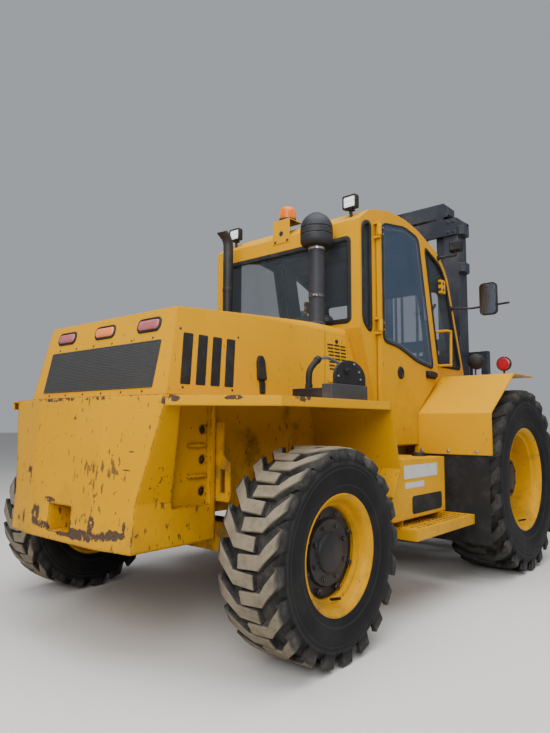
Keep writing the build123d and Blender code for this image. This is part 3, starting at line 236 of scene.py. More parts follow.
def plasticFinish(name, colour, rough=0.5, dust=0.25, grainScale=260):
    made = Finish(name, Specular_IOR_Level=0.26)
    grain = made.noise(grainScale, 2, 0.5)
    film = made.rise(made.noise(7, 6, 0.65), 0.45, 0.8) * dust
    made.set(Base_Color=made.mix(film, colour, (0.24, 0.21, 0.17)), Roughness=(film * 0.35 + grain * 0.16 + rough).least(0.95))
    made.bump(grain, 0.18, 0.0006, 0.003)
    return made.material


def rubberFinish(name, centre, radius, depth, bright, tread):
    # black sidewalls, scuffed and dusty on top of the lugs
    made = Finish(name, Specular_IOR_Level=0.12)
    spot = made.node("SeparateXYZ", {}, {0: made.where})
    dx = spot["X"] - centre[0]
    dz = spot["Z"] - centre[1]
    reach = (dx * dx + dz * dz) ** 0.5
    top = made.rise(reach, radius - 0.35 * depth, radius - 0.08 * depth)
    groove = made.rise(reach, radius - 2.2 * depth, radius - 0.9 * depth)
    blotch = made.noise(14, 6, 0.7)
    grit = made.noise(120, 5, 0.75)
    scuff = made.rise(blotch + grit * 0.35, 0.55, 0.92)
    side = made.mix(made.rise(made.noise(6, 5, 0.6) + grit * 0.2, 0.5, 0.95) * 0.16, (0.008, 0.008, 0.009), (0.070, 0.062, 0.052))
    soil = made.mix(scuff, tread, tuple(c * 0.55 for c in tread))
    middle = made.mix(scuff, (0.030, 0.028, 0.026), (0.11, 0.10, 0.085))
    base = made.mix(groove * 0.6, side, middle)
    base = made.mix(top * bright, base, soil)
    ribs = made.noise(300, 3, 0.6)
    rings = 0                  # moulded into the sidewall
    for share, half in ((0.845, 0.007), (0.800, 0.003), (0.640, 0.004)):
        gap = reach - radius * share
        rings = 1 - made.rise((gap * gap) ** 0.5, half * 0.6, half * 1.4) + rings
    base = made.mix(rings * 0.25 * (1 - top), base, (0.045, 0.043, 0.040))
    made.set(Base_Color=base, Roughness=(blotch * 0.2 + top * 0.18 + 0.52).least(0.97))
    made.bump(grit * 0.35 + ribs * 0.15 + rings * 1.2, 0.5, 0.003, 0.003)
    return made.material


def glassFinish(name, tint, alpha, dust=0.18):
    made = Finish(name, IOR=1.5, Specular_IOR_Level=0.7)
    film = made.rise(made.noise(5, 6, 0.65) + made.noise(40, 4) * 0.2, 0.45, 0.95) * dust
    made.set(Base_Color=made.mix(film, tint, (0.45, 0.44, 0.40)), Roughness=film * 0.35 + 0.03, Alpha=film * 0.5 + alpha)
    return made.material


def lensFinish(name, colour, rough=0.16, dust=0.12):
    made = Finish(name, Coat_Weight=0.12, Coat_Roughness=0.08, Specular_IOR_Level=0.2)
    film = made.rise(made.noise(30, 4, 0.6), 0.4, 0.8) * dust
    made.set(Base_Color=made.mix(film, colour, (0.55, 0.45, 0.38)), Roughness=film * 0.4 + rough)
    made.bump(made.noise(90, 2), 0.15, 0.0008)
    return made.material


def steelFinish(name, colour, rough=0.3, rust=0.3, metal=1.0):
    made = Finish(name)
    brush = made.noise(90, 3, 0.6, (1, 1, 0.08))
    spots = made.rise(made.noise(18, 6, 0.7), 0.60 - rust * 0.18, 0.76) * rust
    made.set(Base_Color=made.mix(spots, colour, (0.17, 0.075, 0.03)), Metallic=(1 - spots) * metal,
             Roughness=brush * 0.14 + spots * 0.45 + rough)
    made.bump(brush * 0.4 + spots, 0.12, 0.0008, 0.002)
    return made.material


def vinylFinish(name, colour):
    made = Finish(name, Specular_IOR_Level=0.35)
    grain = made.cells(420)
    made.set(Base_Color=made.mix(made.rise(made.noise(9, 4), 0.4, 0.8) * 0.3, colour, (0.10, 0.09, 0.08)), Roughness=grain * 0.1 + 0.48)
    made.bump(grain, 0.25, 0.0007)
    return made.material


# bare patches seen on the tail and along the right ledge's lip: middle, reach, how much
tailFoot = rearX - 0.755
weightWear = [((tailFoot + deep, y, z), (0.10, wide, high), much) for deep, y, z, wide, high, much in (
    (0.00, -0.15, 0.550, 0.32, 0.034, 0.25), (0.00, -0.42, 0.570, 0.12, 0.034, 0.26), (0.01, -0.27, 0.605, 0.045, 0.055, 0.26),
    (0.01, 0.225, 0.600, 0.055, 0.080, 0.25), (0.00, 0.150, 0.560, 0.080, 0.030, 0.22), (0.01, 0.100, 0.684, 0.090, 0.020, 0.27),
    (0.01, 0.358, 0.577, 0.018, 0.055, 0.24), (0.00, 0.430, 0.570, 0.030, 0.030, 0.20), (0.02, 0.335, 0.815, 0.045, 0.030, 0.22),
    (0.02, 0.315, 0.770, 0.014, 0.045, 0.22), (0.01, -0.477, 0.600, 0.016, 0.055, 0.24), (0.01, -0.535, 0.585, 0.016, 0.060, 0.24),
    (0.03, -0.664, 0.960, 0.028, 0.060, 0.30), (0.03, -0.642, 0.880, 0.026, 0.060, 0.28), (0.02, -0.606, 0.770, 0.028, 0.045, 0.24),
    (0.01, -0.592, 0.690, 0.016, 0.060, 0.26), (0.03, -0.484, 0.930, 0.035, 0.006, 0.26),
    (0.03, -0.480, 1.040, 0.022, 0.006, 0.26), (0.03, -0.470, 0.850, 0.045, 0.006, 0.26), (0.05, 0.130, 1.170, 0.28, 0.016, 0.19),
    (0.05, -0.230, 1.168, 0.14, 0.014, 0.18), (0.10, -0.660, 1.155, 0.050, 0.030, 0.22))]
weightFlakes = [((tailFoot + 0.02, -0.30, 0.830), (0.12, 0.30, 0.13), 0.13), ((tailFoot, -0.10, 0.640), (0.12, 0.45, 0.07), 0.09)]
ledgeWear = [((rearX + x, y, z), reach, much) for x, y, z, reach, much in (
    (-0.165, -1.030, 1.166, (0.085, 0.05, 0.022), 0.25), (-0.456, -0.883, 1.164, (0.060, 0.060, 0.016), 0.22),
    (-0.620, -0.690, 1.160, (0.06, 0.06, 0.024), 0.23), (0.050, 1.030, 1.168, (0.16, 0.05, 0.022), 0.22),
    (-0.560, 0.0, 1.183, (0.05, 0.50, 0.014), 0.10))]
cabWear = {"chips": 0.10, "dirt": 0.18, "fade": 0.2, "wear": 0.2, "low": 0.9, "high": 1.8}
# middles that the inner faces of the cab and doors look at, where near-black painted shade is laid
cabInside, doorInside = (frontX - 0.62, 0, 1.72), (frontX - 0.80, 0.600, 1.90)
finishes = {
    "body": yellowFinish("bodyYellow", chips=0.22, dirt=0.20, fade=0.35, wear=0.30, soft=0.012, torn=ledgeWear),
    "weight": yellowFinish("weightYellow", chips=0.70, dirt=0.25, fade=0.45, wear=0.8, low=0.5, high=0.95, edge=0.012, soft=0.022, torn=weightWear, flakes=weightFlakes),
    "cab": yellowFinish("cabYellow", **cabWear),
    "cabShadedInside": yellowFinish("cabShadedInsideYellow", insideShade=(cabInside, 0.645), **cabWear),
    "doorLeft": yellowFinish("doorLeftYellow", insideShade=(doorInside, 0.684), **cabWear),
    "doorRight": yellowFinish("doorRightYellow", insideShade=((doorInside[0], -doorInside[1], doorInside[2]), 0.684), **cabWear),
    "under": yellowFinish("underYellow", chips=0.55, dirt=0.95, fade=0.4, wear=0.7, low=0.6, high=1.4, gloss=0.5),
    "rim": yellowFinish("rimYellow", chips=0.30, dirt=0.55, fade=0.2, wear=0.5, low=0.3, high=1.0, gloss=0.38, edge=0.004),
    "mast": darkFinish("mastBlack", (0.010, 0.013, 0.021), 0.38, 0.10, 0.30),
    "fork": darkFinish("forkBlack", (0.010, 0.010, 0.011), 0.45, 0.18, 0.7),
    "blackMetal": darkFinish("blackMetal", (0.009, 0.009, 0.010), 0.45, 0.12, 0.2),
    "hub": darkFinish("hubBlack", (0.007, 0.007, 0.008), 0.42, 0.12, 0.1),
    "iron": darkFinish("castIron", (0.045, 0.047, 0.05), 0.55, 0.6, 0.3),
    "plastic": plasticFinish("blackPlastic", (0.009, 0.009, 0.010), dust=0.10),
    "rubber": plasticFinish("softRubber", (0.009, 0.009, 0.009), 0.60, 0.10, 180),
    "greyPlastic": plasticFinish("greyPlastic", (0.034, 0.035, 0.040), 0.5, 0.15),
    "glass": glassFinish("tintedGlass", (0.040, 0.072, 0.125), 0.36, 0.04),
    "clearGlass": glassFinish("clearGlass", (0.10, 0.13, 0.16), 0.12, 0.05),
    "mirrorGlass": steelFinish("mirrorGlass", (0.11, 0.12, 0.14), 0.06, 0.0),
    "redLens": lensFinish("redLens", (0.27, 0.006, 0.014), dust=0.03),
    "amberLens": lensFinish("amberLens", (0.56, 0.125, 0.0), 0.22, dust=0.0),
    "clearLens": lensFinish("clearLens", (0.72, 0.74, 0.74), 0.08),
    "chrome": steelFinish("chromeRod", (0.70, 0.71, 0.73), 0.10, 0.05),
    "chain": steelFinish("oiledChain", (0.16, 0.15, 0.14), 0.38, 0.35),
    "zinc": steelFinish("zincBolt", (0.42, 0.41, 0.38), 0.35, 0.4),
    "grille": plasticFinish("grilleBlack", (0.036, 0.0365, 0.037), 0.5, 0.04),
    "intake": darkFinish("intakeBlack", (0.015, 0.017, 0.022), 0.50, 0.08, 0.05),
    "amberPink": lensFinish("amberPinkLens", (0.66, 0.18, 0.055), 0.28),
    "mauveLens": lensFinish("mauveLens", (0.32, 0.085, 0.10), 0.26),
    "ledSpot": lensFinish("ledSpot", (0.92, 0.93, 0.90), 0.10),
    "paper": plasticFinish("blankPlate", (0.42, 0.42, 0.40), 0.5, 0.4),
    "stepGrip": yellowFinish("stepYellow", chips=1.3, dirt=0.9, fade=0.4, wear=1.0, low=0.3, high=0.9, gloss=0.5, edge=0.004),
    "seat": vinylFinish("seatVinyl", (0.018, 0.018, 0.020)),
    "tyreRear": rubberFinish("tyreRubberRear", (rearX, 0.476), 0.476, 0.030, 0.86, (0.215, 0.176, 0.122)),
    "tyreFront": rubberFinish("tyreRubberFront", (frontX, 0.655), 0.655, 0.034, 0.25, (0.075, 0.070, 0.060)),
}
nodeFinish = {
    "body": ("hood", "cowl", "rear_fenders", "front_fenders", "side_tanks", "steps"),
    "weight": ("counterweight",),
    "cabShadedInside": ("cab_frame",),
    "doorLeft": ("door_left",),
    "doorRight": ("door_right",),
    "under": ("frame", "front_axle", "rear_axle", "knuckle_left", "knuckle_right", "tilt_barrels"),
    "rim": ("rim_rear_left", "rim_rear_right", "rim_front_left", "rim_front_right"),
    "mast": ("outer_mast", "inner_mast", "carriage", "lift_barrels"),
    "fork": ("forks",),
    "blackMetal": ("hood_grille", "exhaust"),
    "iron": ("engine",),
    "plastic": ("pre_cleaner", "work_lights", "mirrors", "headlights", "battery_box", "steering_column",
                "control_levers", "door_handle_left", "door_handle_right"),
    "rubber": ("mudflaps", "hood_latches"),
    "glass": ("door_glass_left", "door_glass_right"),
    "clearGlass": ("cab_glass",),
    "redLens": ("signal_lamps",),
    "mauveLens": ("tail_lamps",),
    "amberLens": ("beacon",),
    "chrome": ("lift_rods", "tilt_rods"),
    "chain": ("lift_chains",),
    "seat": ("seat",),
    "tyreRear": ("tyre_rear_left", "tyre_rear_right"),
    "tyreFront": ("tyre_front_left", "tyre_front_right"),
}
dressed = set()
for finishName, names in nodeFinish.items():
    for nodeName in names:
        holder = nodes[nodeName].data.materials
        if len(holder) == 0:
            holder.append(finishes[finishName])
        for place in range(len(holder)):
            holder[place] = finishes[finishName]
        dressed.add(nodeName)
print("finishes made:", len(finishes), "nodes left bare:", sorted(set(nodes) - dressed))

# Meshes


def tightened(bm, name):
    # the drawing as a plain mesh whose faces point outwards
    bmesh.ops.recalc_face_normals(bm, faces=bm.faces)
    mesh = bpy.data.meshes.new(name)
    bm.to_mesh(mesh)
    bm.free()
    return mesh


def settle(name, bm, finish, body="chassis", smooth=None, replaced=()):
    # a closed drawing made into a finished piece
    bmesh.ops.remove_doubles(bm, verts=bm.verts, dist=1e-6)
    return own(name, tightened(bm, name), finish, body, smooth, replaced)


def own(name, mesh, finish, body, smooth, replaced):
    piece = bpy.data.objects.new(name, mesh)
    bpy.context.scene.collection.objects.link(piece)
    mesh.materials.append(finishes[finish])
    if smooth is not None:
        mesh.shade_smooth()
        mesh.set_sharp_from_angle(angle=math.radians(smooth))
    if replaced:
        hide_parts(*replaced)
    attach(piece, body)
    return piece


def merged(name, meshes, finish, body="chassis", smooth=None, replaced=()):
    # several plain meshes joined as one piece
    bm = bmesh.new()
    for mesh in meshes:
        bm.from_mesh(mesh)
        bpy.data.meshes.remove(mesh)
    return own(name, tightened(bm, name), finish, body, smooth, replaced)


def pattern(bm):
    # one small part that a recipe copies
    return bpy.data.objects.new("pattern", tightened(bm, "pattern"))


def block(bm, low, high):
    # box between two corners
    middle = (Vector(low) + Vector(high)) / 2
    size = [abs(h - l) for l, h in zip(low, high)]
    bmesh.ops.create_cube(bm, size=1, matrix=Matrix.Translation(middle) @ Matrix.Diagonal((*size, 1)))


def blockAt(bm, middle, half):
    half = Vector(half)
    block(bm, middle - half, middle + half)


def aim(direction):
    return Vector(direction).normalized().to_track_quat("Z", "X").to_matrix().to_4x4()


def rod(bm, start, end, radius, flats=16, tip=None):
    start, end = Vector(start), Vector(end)
    at = Matrix.Translation((start + end) / 2) @ aim(end - start)
    bmesh.ops.create_cone(bm, cap_ends=True, segments=flats, radius1=radius, radius2=radius if tip is None else tip,
                          depth=(end - start).length, matrix=at)


def turned(bm, profile, foot, direction, flats=48):
    # closed outline of (distance along, radius) turned about a line
    stand = Matrix.Translation(foot) @ aim(direction)
    rings = []
    for k in range(flats):
        angle = math.tau * k / flats
        ring = [Vector((r * math.cos(angle), r * math.sin(angle), a)) for a, r in profile]
        rings.append([bm.verts.new(stand @ spot) for spot in ring])
    for here, there in zip(rings, rings[1:] + rings[:1]):
        skin(bm, here, there)


def skin(bm, here, there):
    # faces between two rings of equal count
    for i in range(len(here)):
        j = (i + 1) % len(here)
        bm.faces.new((here[i], here[j], there[j], there[i]))


def stack(bm, rings):
    # skin through rings of points, both ends filled
    made = [[bm.verts.new(p) for p in ring] for ring in rings]
    for here, there in zip(made, made[1:]):
        skin(bm, here, there)
    bm.faces.new(made[0])
    bm.faces.new(list(reversed(made[-1])))


def hoop(bm, rings):
    # closed frame through rings of points
    made = [[bm.verts.new(p) for p in ring] for ring in rings]
    for here, there in zip(made, made[1:] + made[:1]):
        skin(bm, here, there)


def disc(bm, foot, direction, low, high, radius, flats):
    turned(bm, [(low, 0.0), (low, radius), (high, radius), (high, 0.0)], foot, direction, flats)


def collar(bm, foot, direction, half, inner, outer, flats):
    turned(bm, [(-half, inner), (-half, outer), (half, outer), (half, inner)], foot, direction, flats)


def eased(before, corner, after, reach, steps):
    # a corner rounded off by a curve of so many steps
    enter = corner + (before - corner).normalized() * reach
    leave = corner + (after - corner).normalized() * reach
    for s in range(steps + 1):
        t = s / steps
        yield enter * (1 - t) ** 2 + corner * 2 * t * (1 - t) + leave * t * t


def tube(bm, points, radius, flats=12, rounding=0.0, steps=5):
    # round tube through points, corners rounded off
    path = [Vector(p) for p in points]
    if rounding:
        soft = [path[0]]
        for before, corner, after in zip(path, path[1:], path[2:]):
            reach = min(rounding, (corner - before).length * 0.48, (after - corner).length * 0.48)
            soft += eased(before, corner, after, reach, steps)
        path = soft + [path[-1]]
    across = None
    rings = []
    for i, spot in enumerate(path):
        before = path[max(i - 1, 0)]
        after = path[min(i + 1, len(path) - 1)]
        heading = (after - before).normalized()
        if across is None:
            across = heading.orthogonal().normalized()
        across = (across - heading * across.dot(heading)).normalized()
        other = heading.cross(across)
        rings.append([bm.verts.new(spot + around(across, other, k / flats) * radius) for k in range(flats)])
    for here, there in zip(rings, rings[1:]):
        skin(bm, here, there)
    bm.faces.new(list(reversed(rings[0])))
    bm.faces.new(rings[-1])


def around(first, second, share):
    # a share of the way round from the first direction towards the second
    return first * math.cos(math.tau * share) + second * math.sin(math.tau * share)


def bolt(bm, foot, direction, radius, high, washer=0.0):
    # hexagon head on an optional washer
    foot, direction = Vector(foot), Vector(direction).normalized()
    if washer:
        rod(bm, foot, foot + direction * 0.002, washer, 16)
    rod(bm, foot, foot + direction * high, radius, 6)


def screw(bm, foot, direction, radius, high):
    # round head with a narrower top
    foot, direction = Vector(foot), Vector(direction).normalized()
    middle = foot + direction * high * 0.5
    rod(bm, foot, middle, radius, 10)
    rod(bm, middle, foot + direction * high, radius * 0.9, 10, radius * 0.55)


# Geometry nodes


class Recipe:
    # a geometry node tree with named inputs
    def __init__(self, name, inputs):
        self.group = bpy.data.node_groups.new(name, "GeometryNodeTree")
        kinds = {int: "NodeSocketInt", float: "NodeSocketFloat", tuple: "NodeSocketVector"}
        self.group.interface.new_socket("Geometry", in_out="INPUT", socket_type="NodeSocketGeometry")
        self.keys = {}
        for label, default in inputs.items():
            kind = kinds.get(type(default), "NodeSocket" + str(default))
            made = self.group.interface.new_socket(label, in_out="INPUT", socket_type=kind)
            if type(default) in kinds:
                made.default_value = default
            self.keys[label] = made.identifier
        self.group.interface.new_socket("Geometry", in_out="OUTPUT", socket_type="NodeSocketGeometry")
        self.given = self.group.nodes.new("NodeGroupInput").outputs
        self.result = self.group.nodes.new("NodeGroupOutput").inputs

    def put(self, socket, value):
        if hasattr(value, "is_output"):
            self.group.links.new(value, socket)
        else:
            socket.default_value = value

    def node(self, kind, settings=None, values=None):
        made = self.group.nodes.new(kind)
        for name, value in (settings or {}).items():
            setattr(made, name, value)
        for key, value in (values or {}).items():
            self.put(made.inputs[key], value)
        return made.outputs

    def maths(self, operation, first, second=0.0):
        return self.node("ShaderNodeMath", {"operation": operation}, {0: first, 1: second})[0]

    def vector(self, x=0.0, y=0.0, z=0.0):
        return self.node("ShaderNodeCombineXYZ", {}, {0: x, 1: y, 2: z})[0]

    def close(self, geometry):
        whole = self.node("GeometryNodeRealizeInstances", {}, {"Geometry": geometry})[0]
        coated = self.node("GeometryNodeSetMaterial", {}, {"Geometry": whole, "Material": self.given["Finish"]})[0]
        self.group.links.new(coated, self.result[0])

    def grow(self, name, values):
        # evaluated once, then kept as a plain mesh
        holder = bpy.data.objects.new(name + "Grower", bpy.data.meshes.new(name + "Seed"))
        bpy.context.scene.collection.objects.link(holder)
        growth = holder.modifiers.new("growth", "NODES")
        growth.node_group = self.group
        for label, value in values.items():
            growth[self.keys[label]] = value
        holder.update_tag()
        bpy.context.view_layer.update()
        mesh = bpy.data.meshes.new_from_object(holder.evaluated_get(bpy.context.evaluated_depsgraph_get()))
        mesh.name = name
        holder.modifiers.remove(growth)
        bpy.data.objects.remove(holder)
        return mesh


def ringRecipe():
    # copies of Part about the Y axis, then moved to Centre
    tree = Recipe("ringOfParts", {"Part": "Object", "Count": 20, "Start": 0.0, "Mirror": 1.0, "Centre": (0.0, 0.0, 0.0), "Finish": "Material"})
    line = tree.node("GeometryNodeMeshLine", {}, {"Count": tree.given["Count"], "Offset": (0, 0, 0)})[0]
    points = tree.node("GeometryNodeMeshToPoints", {}, {"Mesh": line})[0]
    index = tree.node("GeometryNodeInputIndex")[0]
    turn = tree.maths("ADD", tree.maths("DIVIDE", tree.maths("MULTIPLY", index, math.tau), tree.given["Count"]), tree.given["Start"])
    part = tree.node("GeometryNodeObjectInfo", {}, {"Object": tree.given["Part"]})["Geometry"]
    copies = tree.node("GeometryNodeInstanceOnPoints", {}, {
        "Points": points, "Instance": part, "Rotation": tree.vector(0.0, turn, 0.0),
        "Scale": tree.vector(1.0, tree.given["Mirror"], 1.0)})[0]
    moved = tree.node("GeometryNodeTransform", {}, {"Geometry": copies, "Translation": tree.given["Centre"]})[0]
    tree.close(moved)
    return tree


def gridRecipe():
    # copies of Part over two directions, every other row shifted by half a step
    tree = Recipe("gridOfParts", {"Part": "Object", "Columns": 4, "Rows": 3, "Corner": (0.0, 0.0, 0.0), "Step": (0.0, 0.0, 0.0),
                                  "Rise": (0.0, 0.0, 0.0), "Stagger": 0.0, "Finish": "Material"})
    total = tree.maths("MULTIPLY", tree.given["Columns"], tree.given["Rows"])
    line = tree.node("GeometryNodeMeshLine", {}, {"Count": total, "Offset": (0, 0, 0)})[0]
    points = tree.node("GeometryNodeMeshToPoints", {}, {"Mesh": line})[0]
    index = tree.node("GeometryNodeInputIndex")[0]
    row = tree.maths("FLOOR", tree.maths("DIVIDE", tree.maths("ADD", index, 0.5), tree.given["Columns"]))
    column = tree.maths("SUBTRACT", index, tree.maths("MULTIPLY", row, tree.given["Columns"]))
    odd = tree.maths("MODULO", row, 2.0)
    column = tree.maths("ADD", column, tree.maths("MULTIPLY", odd, tree.given["Stagger"]))
    along = tree.node("ShaderNodeVectorMath", {"operation": "SCALE"}, {0: tree.given["Step"], "Scale": column})[0]
    upward = tree.node("ShaderNodeVectorMath", {"operation": "SCALE"}, {0: tree.given["Rise"], "Scale": row})[0]
    spot = tree.node("ShaderNodeVectorMath", {"operation": "ADD"}, {0: along, 1: upward})[0]
    spot = tree.node("ShaderNodeVectorMath", {"operation": "ADD"}, {0: spot, 1: tree.given["Corner"]})[0]
    placed = tree.node("GeometryNodeSetPosition", {}, {"Geometry": points, "Position": spot})[0]
    part = tree.node("GeometryNodeObjectInfo", {}, {"Object": tree.given["Part"]})["Geometry"]
    copies = tree.node("GeometryNodeInstanceOnPoints", {}, {"Points": placed, "Instance": part})[0]
    tree.close(copies)
    return tree


def pathRecipe():
    # copies of Part along the line between Start and End, facing Turn
    tree = Recipe("partsAlongLine", {"Part": "Object", "Count": 8, "Start": (0.0, 0.0, 0.0), "End": (1.0, 0.0, 0.0), "Turn": (0.0, 0.0, 0.0),
                                     "Finish": "Material"})
    line = tree.node("GeometryNodeMeshLine", {"mode": "END_POINTS"}, {
        "Count": tree.given["Count"], "Start Location": tree.given["Start"], "Offset": tree.given["End"]})[0]
    points = tree.node("GeometryNodeMeshToPoints", {}, {"Mesh": line})[0]
    part = tree.node("GeometryNodeObjectInfo", {}, {"Object": tree.given["Part"]})["Geometry"]
    copies = tree.node("GeometryNodeInstanceOnPoints", {}, {"Points": points, "Instance": part, "Rotation": tree.given["Turn"]})[0]
    tree.close(copies)
    return tree


ringTree = ringRecipe()
gridTree = gridRecipe()
pathTree = pathRecipe()

print("recipes made")

# Wheels

wheels = {
    "rear": {"x": rearX, "y": 0.97, "radius": 0.476, "width": 0.33, "bead": 0.255, "finish": "tyreRear",
             "lugs": 20, "deep": 0.030, "wide": 0.062, "shift": 0.115,
             "hub": 0.150, "reach": 0.096, "dish": 0.040, "nuts": 8, "circle": 0.195},
    "front": {"x": frontX, "y": 0.99, "radius": 0.655, "width": 0.42, "bead": 0.358, "finish": "tyreFront",
              "lugs": 22, "deep": 0.034, "wide": 0.068, "shift": 0.150,
              "hub": 0.142, "reach": 0.078, "dish": -0.040, "nuts": 10, "circle": 0.225},
}


def lugPattern(wheel):
    # one diagonal lug from just past the centre line to the shoulder, top at +Z
    bm = bmesh.new()
    half, radius, deep = wheel["width"] / 2, wheel["radius"], wheel["deep"]
    floor = radius - deep - 0.006

    def corner(across, along, share, level, edge, grow):
        angle = ((along - 0.45) * wheel["shift"] + edge * wheel["wide"] * share * grow) / radius
        return level * math.sin(angle), across, level * math.cos(angle)

    # place across the tyre, share of the slant, share of the width
    stations = ((-0.040, 0.0, 0.50), (0.070, 0.06, 0.50), (0.62 * half, 0.42, 0.56),
                (0.86 * half, 0.78, 0.60), (0.985 * half, 1.0, 0.66))
    rings = []
    for across, along, share in stations:
        top = radius - 0.0005
        if across > 0.8 * half:
            top -= deep * 0.28 * (across / half - 0.8) / 0.2
        sink = floor if across < 0.9 * half else floor - deep * 1.7
        section = ((-1, sink, 1.16), (-1, top - 0.006, 1.0), (-0.86, top, 1.0),
                   (0.86, top, 1.0), (1, top - 0.006, 1.0), (1, sink, 1.16))
        rings.append([corner(across, along, share, level, edge, grow) for edge, level, grow in section])
    stack(bm, rings)
    # the lug's end runs down the shoulder
    along, share = stations[-1][1:]
    rings = []
    for across, level, narrow in ((0.985 * half, radius - deep * 0.30, 1.0), (half, radius - deep * 1.1, 0.96),
                                  (0.985 * half, radius - deep * 2.6, 0.80)):
        rings.append([corner(across - inward, along, share, level, edge, narrow)
                      for edge, inward in ((-1, 0.022), (-0.9, 0.0), (0.9, 0.0), (1, 0.022))])
    stack(bm, rings)
    return pattern(bm)


def casingOutline(wheel):
    # (axial, radius) round the section of the casing
    half, radius, bead = wheel["width"] / 2, wheel["radius"] - wheel["deep"], wheel["bead"]
    rise = radius - bead
    side = [(0.0, radius), (0.55 * half, radius - 0.004), (0.86 * half, radius - 0.016),
            (0.96 * half, radius - 0.034), (0.985 * half, radius - 0.10 * rise - 0.03)]
    side += [(share * half, bead + up * rise) for share, up in (
        (1.0, 0.56), (0.992, 0.40), (0.975, 0.36), (0.965, 0.24), (0.90, 0.13), (0.885, 0.115), (0.875, 0.06))]
    side += [(0.80 * half, bead + 0.005), (0.74 * half, bead - 0.004)]
    return side + [(-a, r) for a, r in reversed(side[1:])]


def rimOutline(wheel):
    # (axial, radius) of the rim band and its well
    bead, lip = wheel["bead"], 0.80 * wheel["width"] / 2
    top = [(lip - 0.030, -0.010), (lip - 0.006, 0.002), (lip + 0.004, 0.018), (lip + 0.012, 0.016)]
    outline = [(-a, r) for a, r in reversed(top)] + [(-0.35 * lip, -0.030), (0.35 * lip, -0.030)] + top
    outline += [(lip + 0.014, 0.006), (lip + 0.004, -0.008), (lip - 0.012, -0.020), (lip - 0.040, -0.026),
                (lip - 0.052, -0.040), (0.30 * lip, -0.046), (-0.30 * lip, -0.046), (-lip + 0.052, -0.040),
                (-lip + 0.012, -0.020), (-lip - 0.010, -0.004)]
    return [(a, bead + r) for a, r in outline]


def buildWheel(place, wheel, sideName, side):
    centre = Vector((wheel["x"], side * wheel["y"], wheel["radius"]))
    outward = Vector((0, side, 0))
    dish, bead, circle, hub, reach = (wheel[key] for key in ("dish", "bead", "circle", "hub", "reach"))
    body, tag = f"wheel_{place}_{sideName}", f"-{place}-{sideName}"

    def onCircle(count, out, radius):
        for k in range(count):
            angle = math.tau * (k + 0.5) / count
            yield centre + outward * out + Vector((math.cos(angle), 0, math.sin(angle))) * radius

    bm = bmesh.new()
    turned(bm, casingOutline(wheel), centre, outward, 96)
    rings = [tightened(bm, "casing")]
    lug = lugPattern(wheel)
    for mirror, start in ((1.0, 0.0), (-1.0, math.pi / wheel["lugs"])):
        rings.append(ringTree.grow("lugs", {"Part": lug, "Count": wheel["lugs"], "Start": start, "Mirror": mirror,
                                            "Centre": tuple(centre), "Finish": finishes[wheel["finish"]]}))
    bpy.data.objects.remove(lug)
    merged("tyre" + tag, rings, wheel["finish"], body, 32, (f"tyre_{place}_{sideName}",))

    bm = bmesh.new()
    turned(bm, rimOutline(wheel), centre, outward, 72)
    turned(bm, [(dish - 0.010, circle - 0.055), (dish + 0.004, circle - 0.055), (dish + 0.004, circle + 0.022),
                (dish + 0.030, bead - 0.052), (dish + 0.050, bead - 0.046), (dish + 0.050, bead - 0.028),
                (dish + 0.034, bead - 0.028), (dish + 0.018, bead - 0.050), (dish - 0.010, circle + 0.024)],
           centre, outward, 72)
    settle("rim" + tag, bm, "rim", body, 34, (f"rim_{place}_{sideName}",))

    bm = bmesh.new()
    turned(bm, [(-0.10, 0.0), (-0.10, hub * 0.9), (dish + 0.004, hub * 0.9), (dish + 0.006, circle + 0.004),
                (dish + 0.016, circle + 0.004), (dish + 0.018, hub + 0.004), (reach - 0.030, hub),
                (reach - 0.018, hub - 0.004), (reach - 0.018, hub * 0.62), (reach - 0.010, hub * 0.60),
                (reach - 0.004, hub * 0.56), (reach, hub * 0.46), (reach, 0.0)], centre, outward, 56)
    for spot in onCircle(8, reach - 0.018, hub * 0.80):
        bolt(bm, spot, outward, 0.011, 0.010)
    settle("hub" + tag, bm, "hub", body, 34)
    bm = bmesh.new()
    for spot in onCircle(wheel["nuts"], dish + 0.015, circle - 0.018):
        bolt(bm, spot, outward, 0.015, 0.018, 0.019)
        rod(bm, spot, spot + outward * 0.028, 0.009, 12)
    settle("nuts" + tag, bm, "hub", body, 30)
    bm = bmesh.new()
    low = centre + outward * (0.80 * wheel["width"] / 2 - 0.05) + Vector((0, 0, -(bead - 0.050)))
    rod(bm, low, low + outward * 0.052 + Vector((0, 0, 0.014)), 0.0065, 10)
    settle("valve" + tag, bm, "rubber", body, 30)


for place, wheel in wheels.items():
    for sideName, side in sides:
        buildWheel(place, wheel, sideName, side)
print("wheels made")

# Outlines and boards used by the fittings


def rounded(halfWide, halfHigh, corner, steps=5):
    points = []
    for across, up, start in ((1, 1, 0), (-1, 1, 90), (-1, -1, 180), (1, -1, 270)):
        for s in range(steps + 1):
            angle = math.radians(start + 90 * s / steps)
            points.append((across * (halfWide - corner) + corner * math.cos(angle),
                           up * (halfHigh - corner) + corner * math.sin(angle)))
    return points


def moved(points, across, up):
    return [(a + across, u + up) for a, u in points]


def softCorners(points, radius, steps=4):
    made = []
    count = len(points)
    for i in range(count):
        before, corner, after = (Vector(points[j % count]) for j in (i - 1, i, i + 1))
        reach = min(radius, (corner - before).length * 0.45, (after - corner).length * 0.45)
        made += [tuple(spot) for spot in eased(before, corner, after, reach, steps)]
    return made


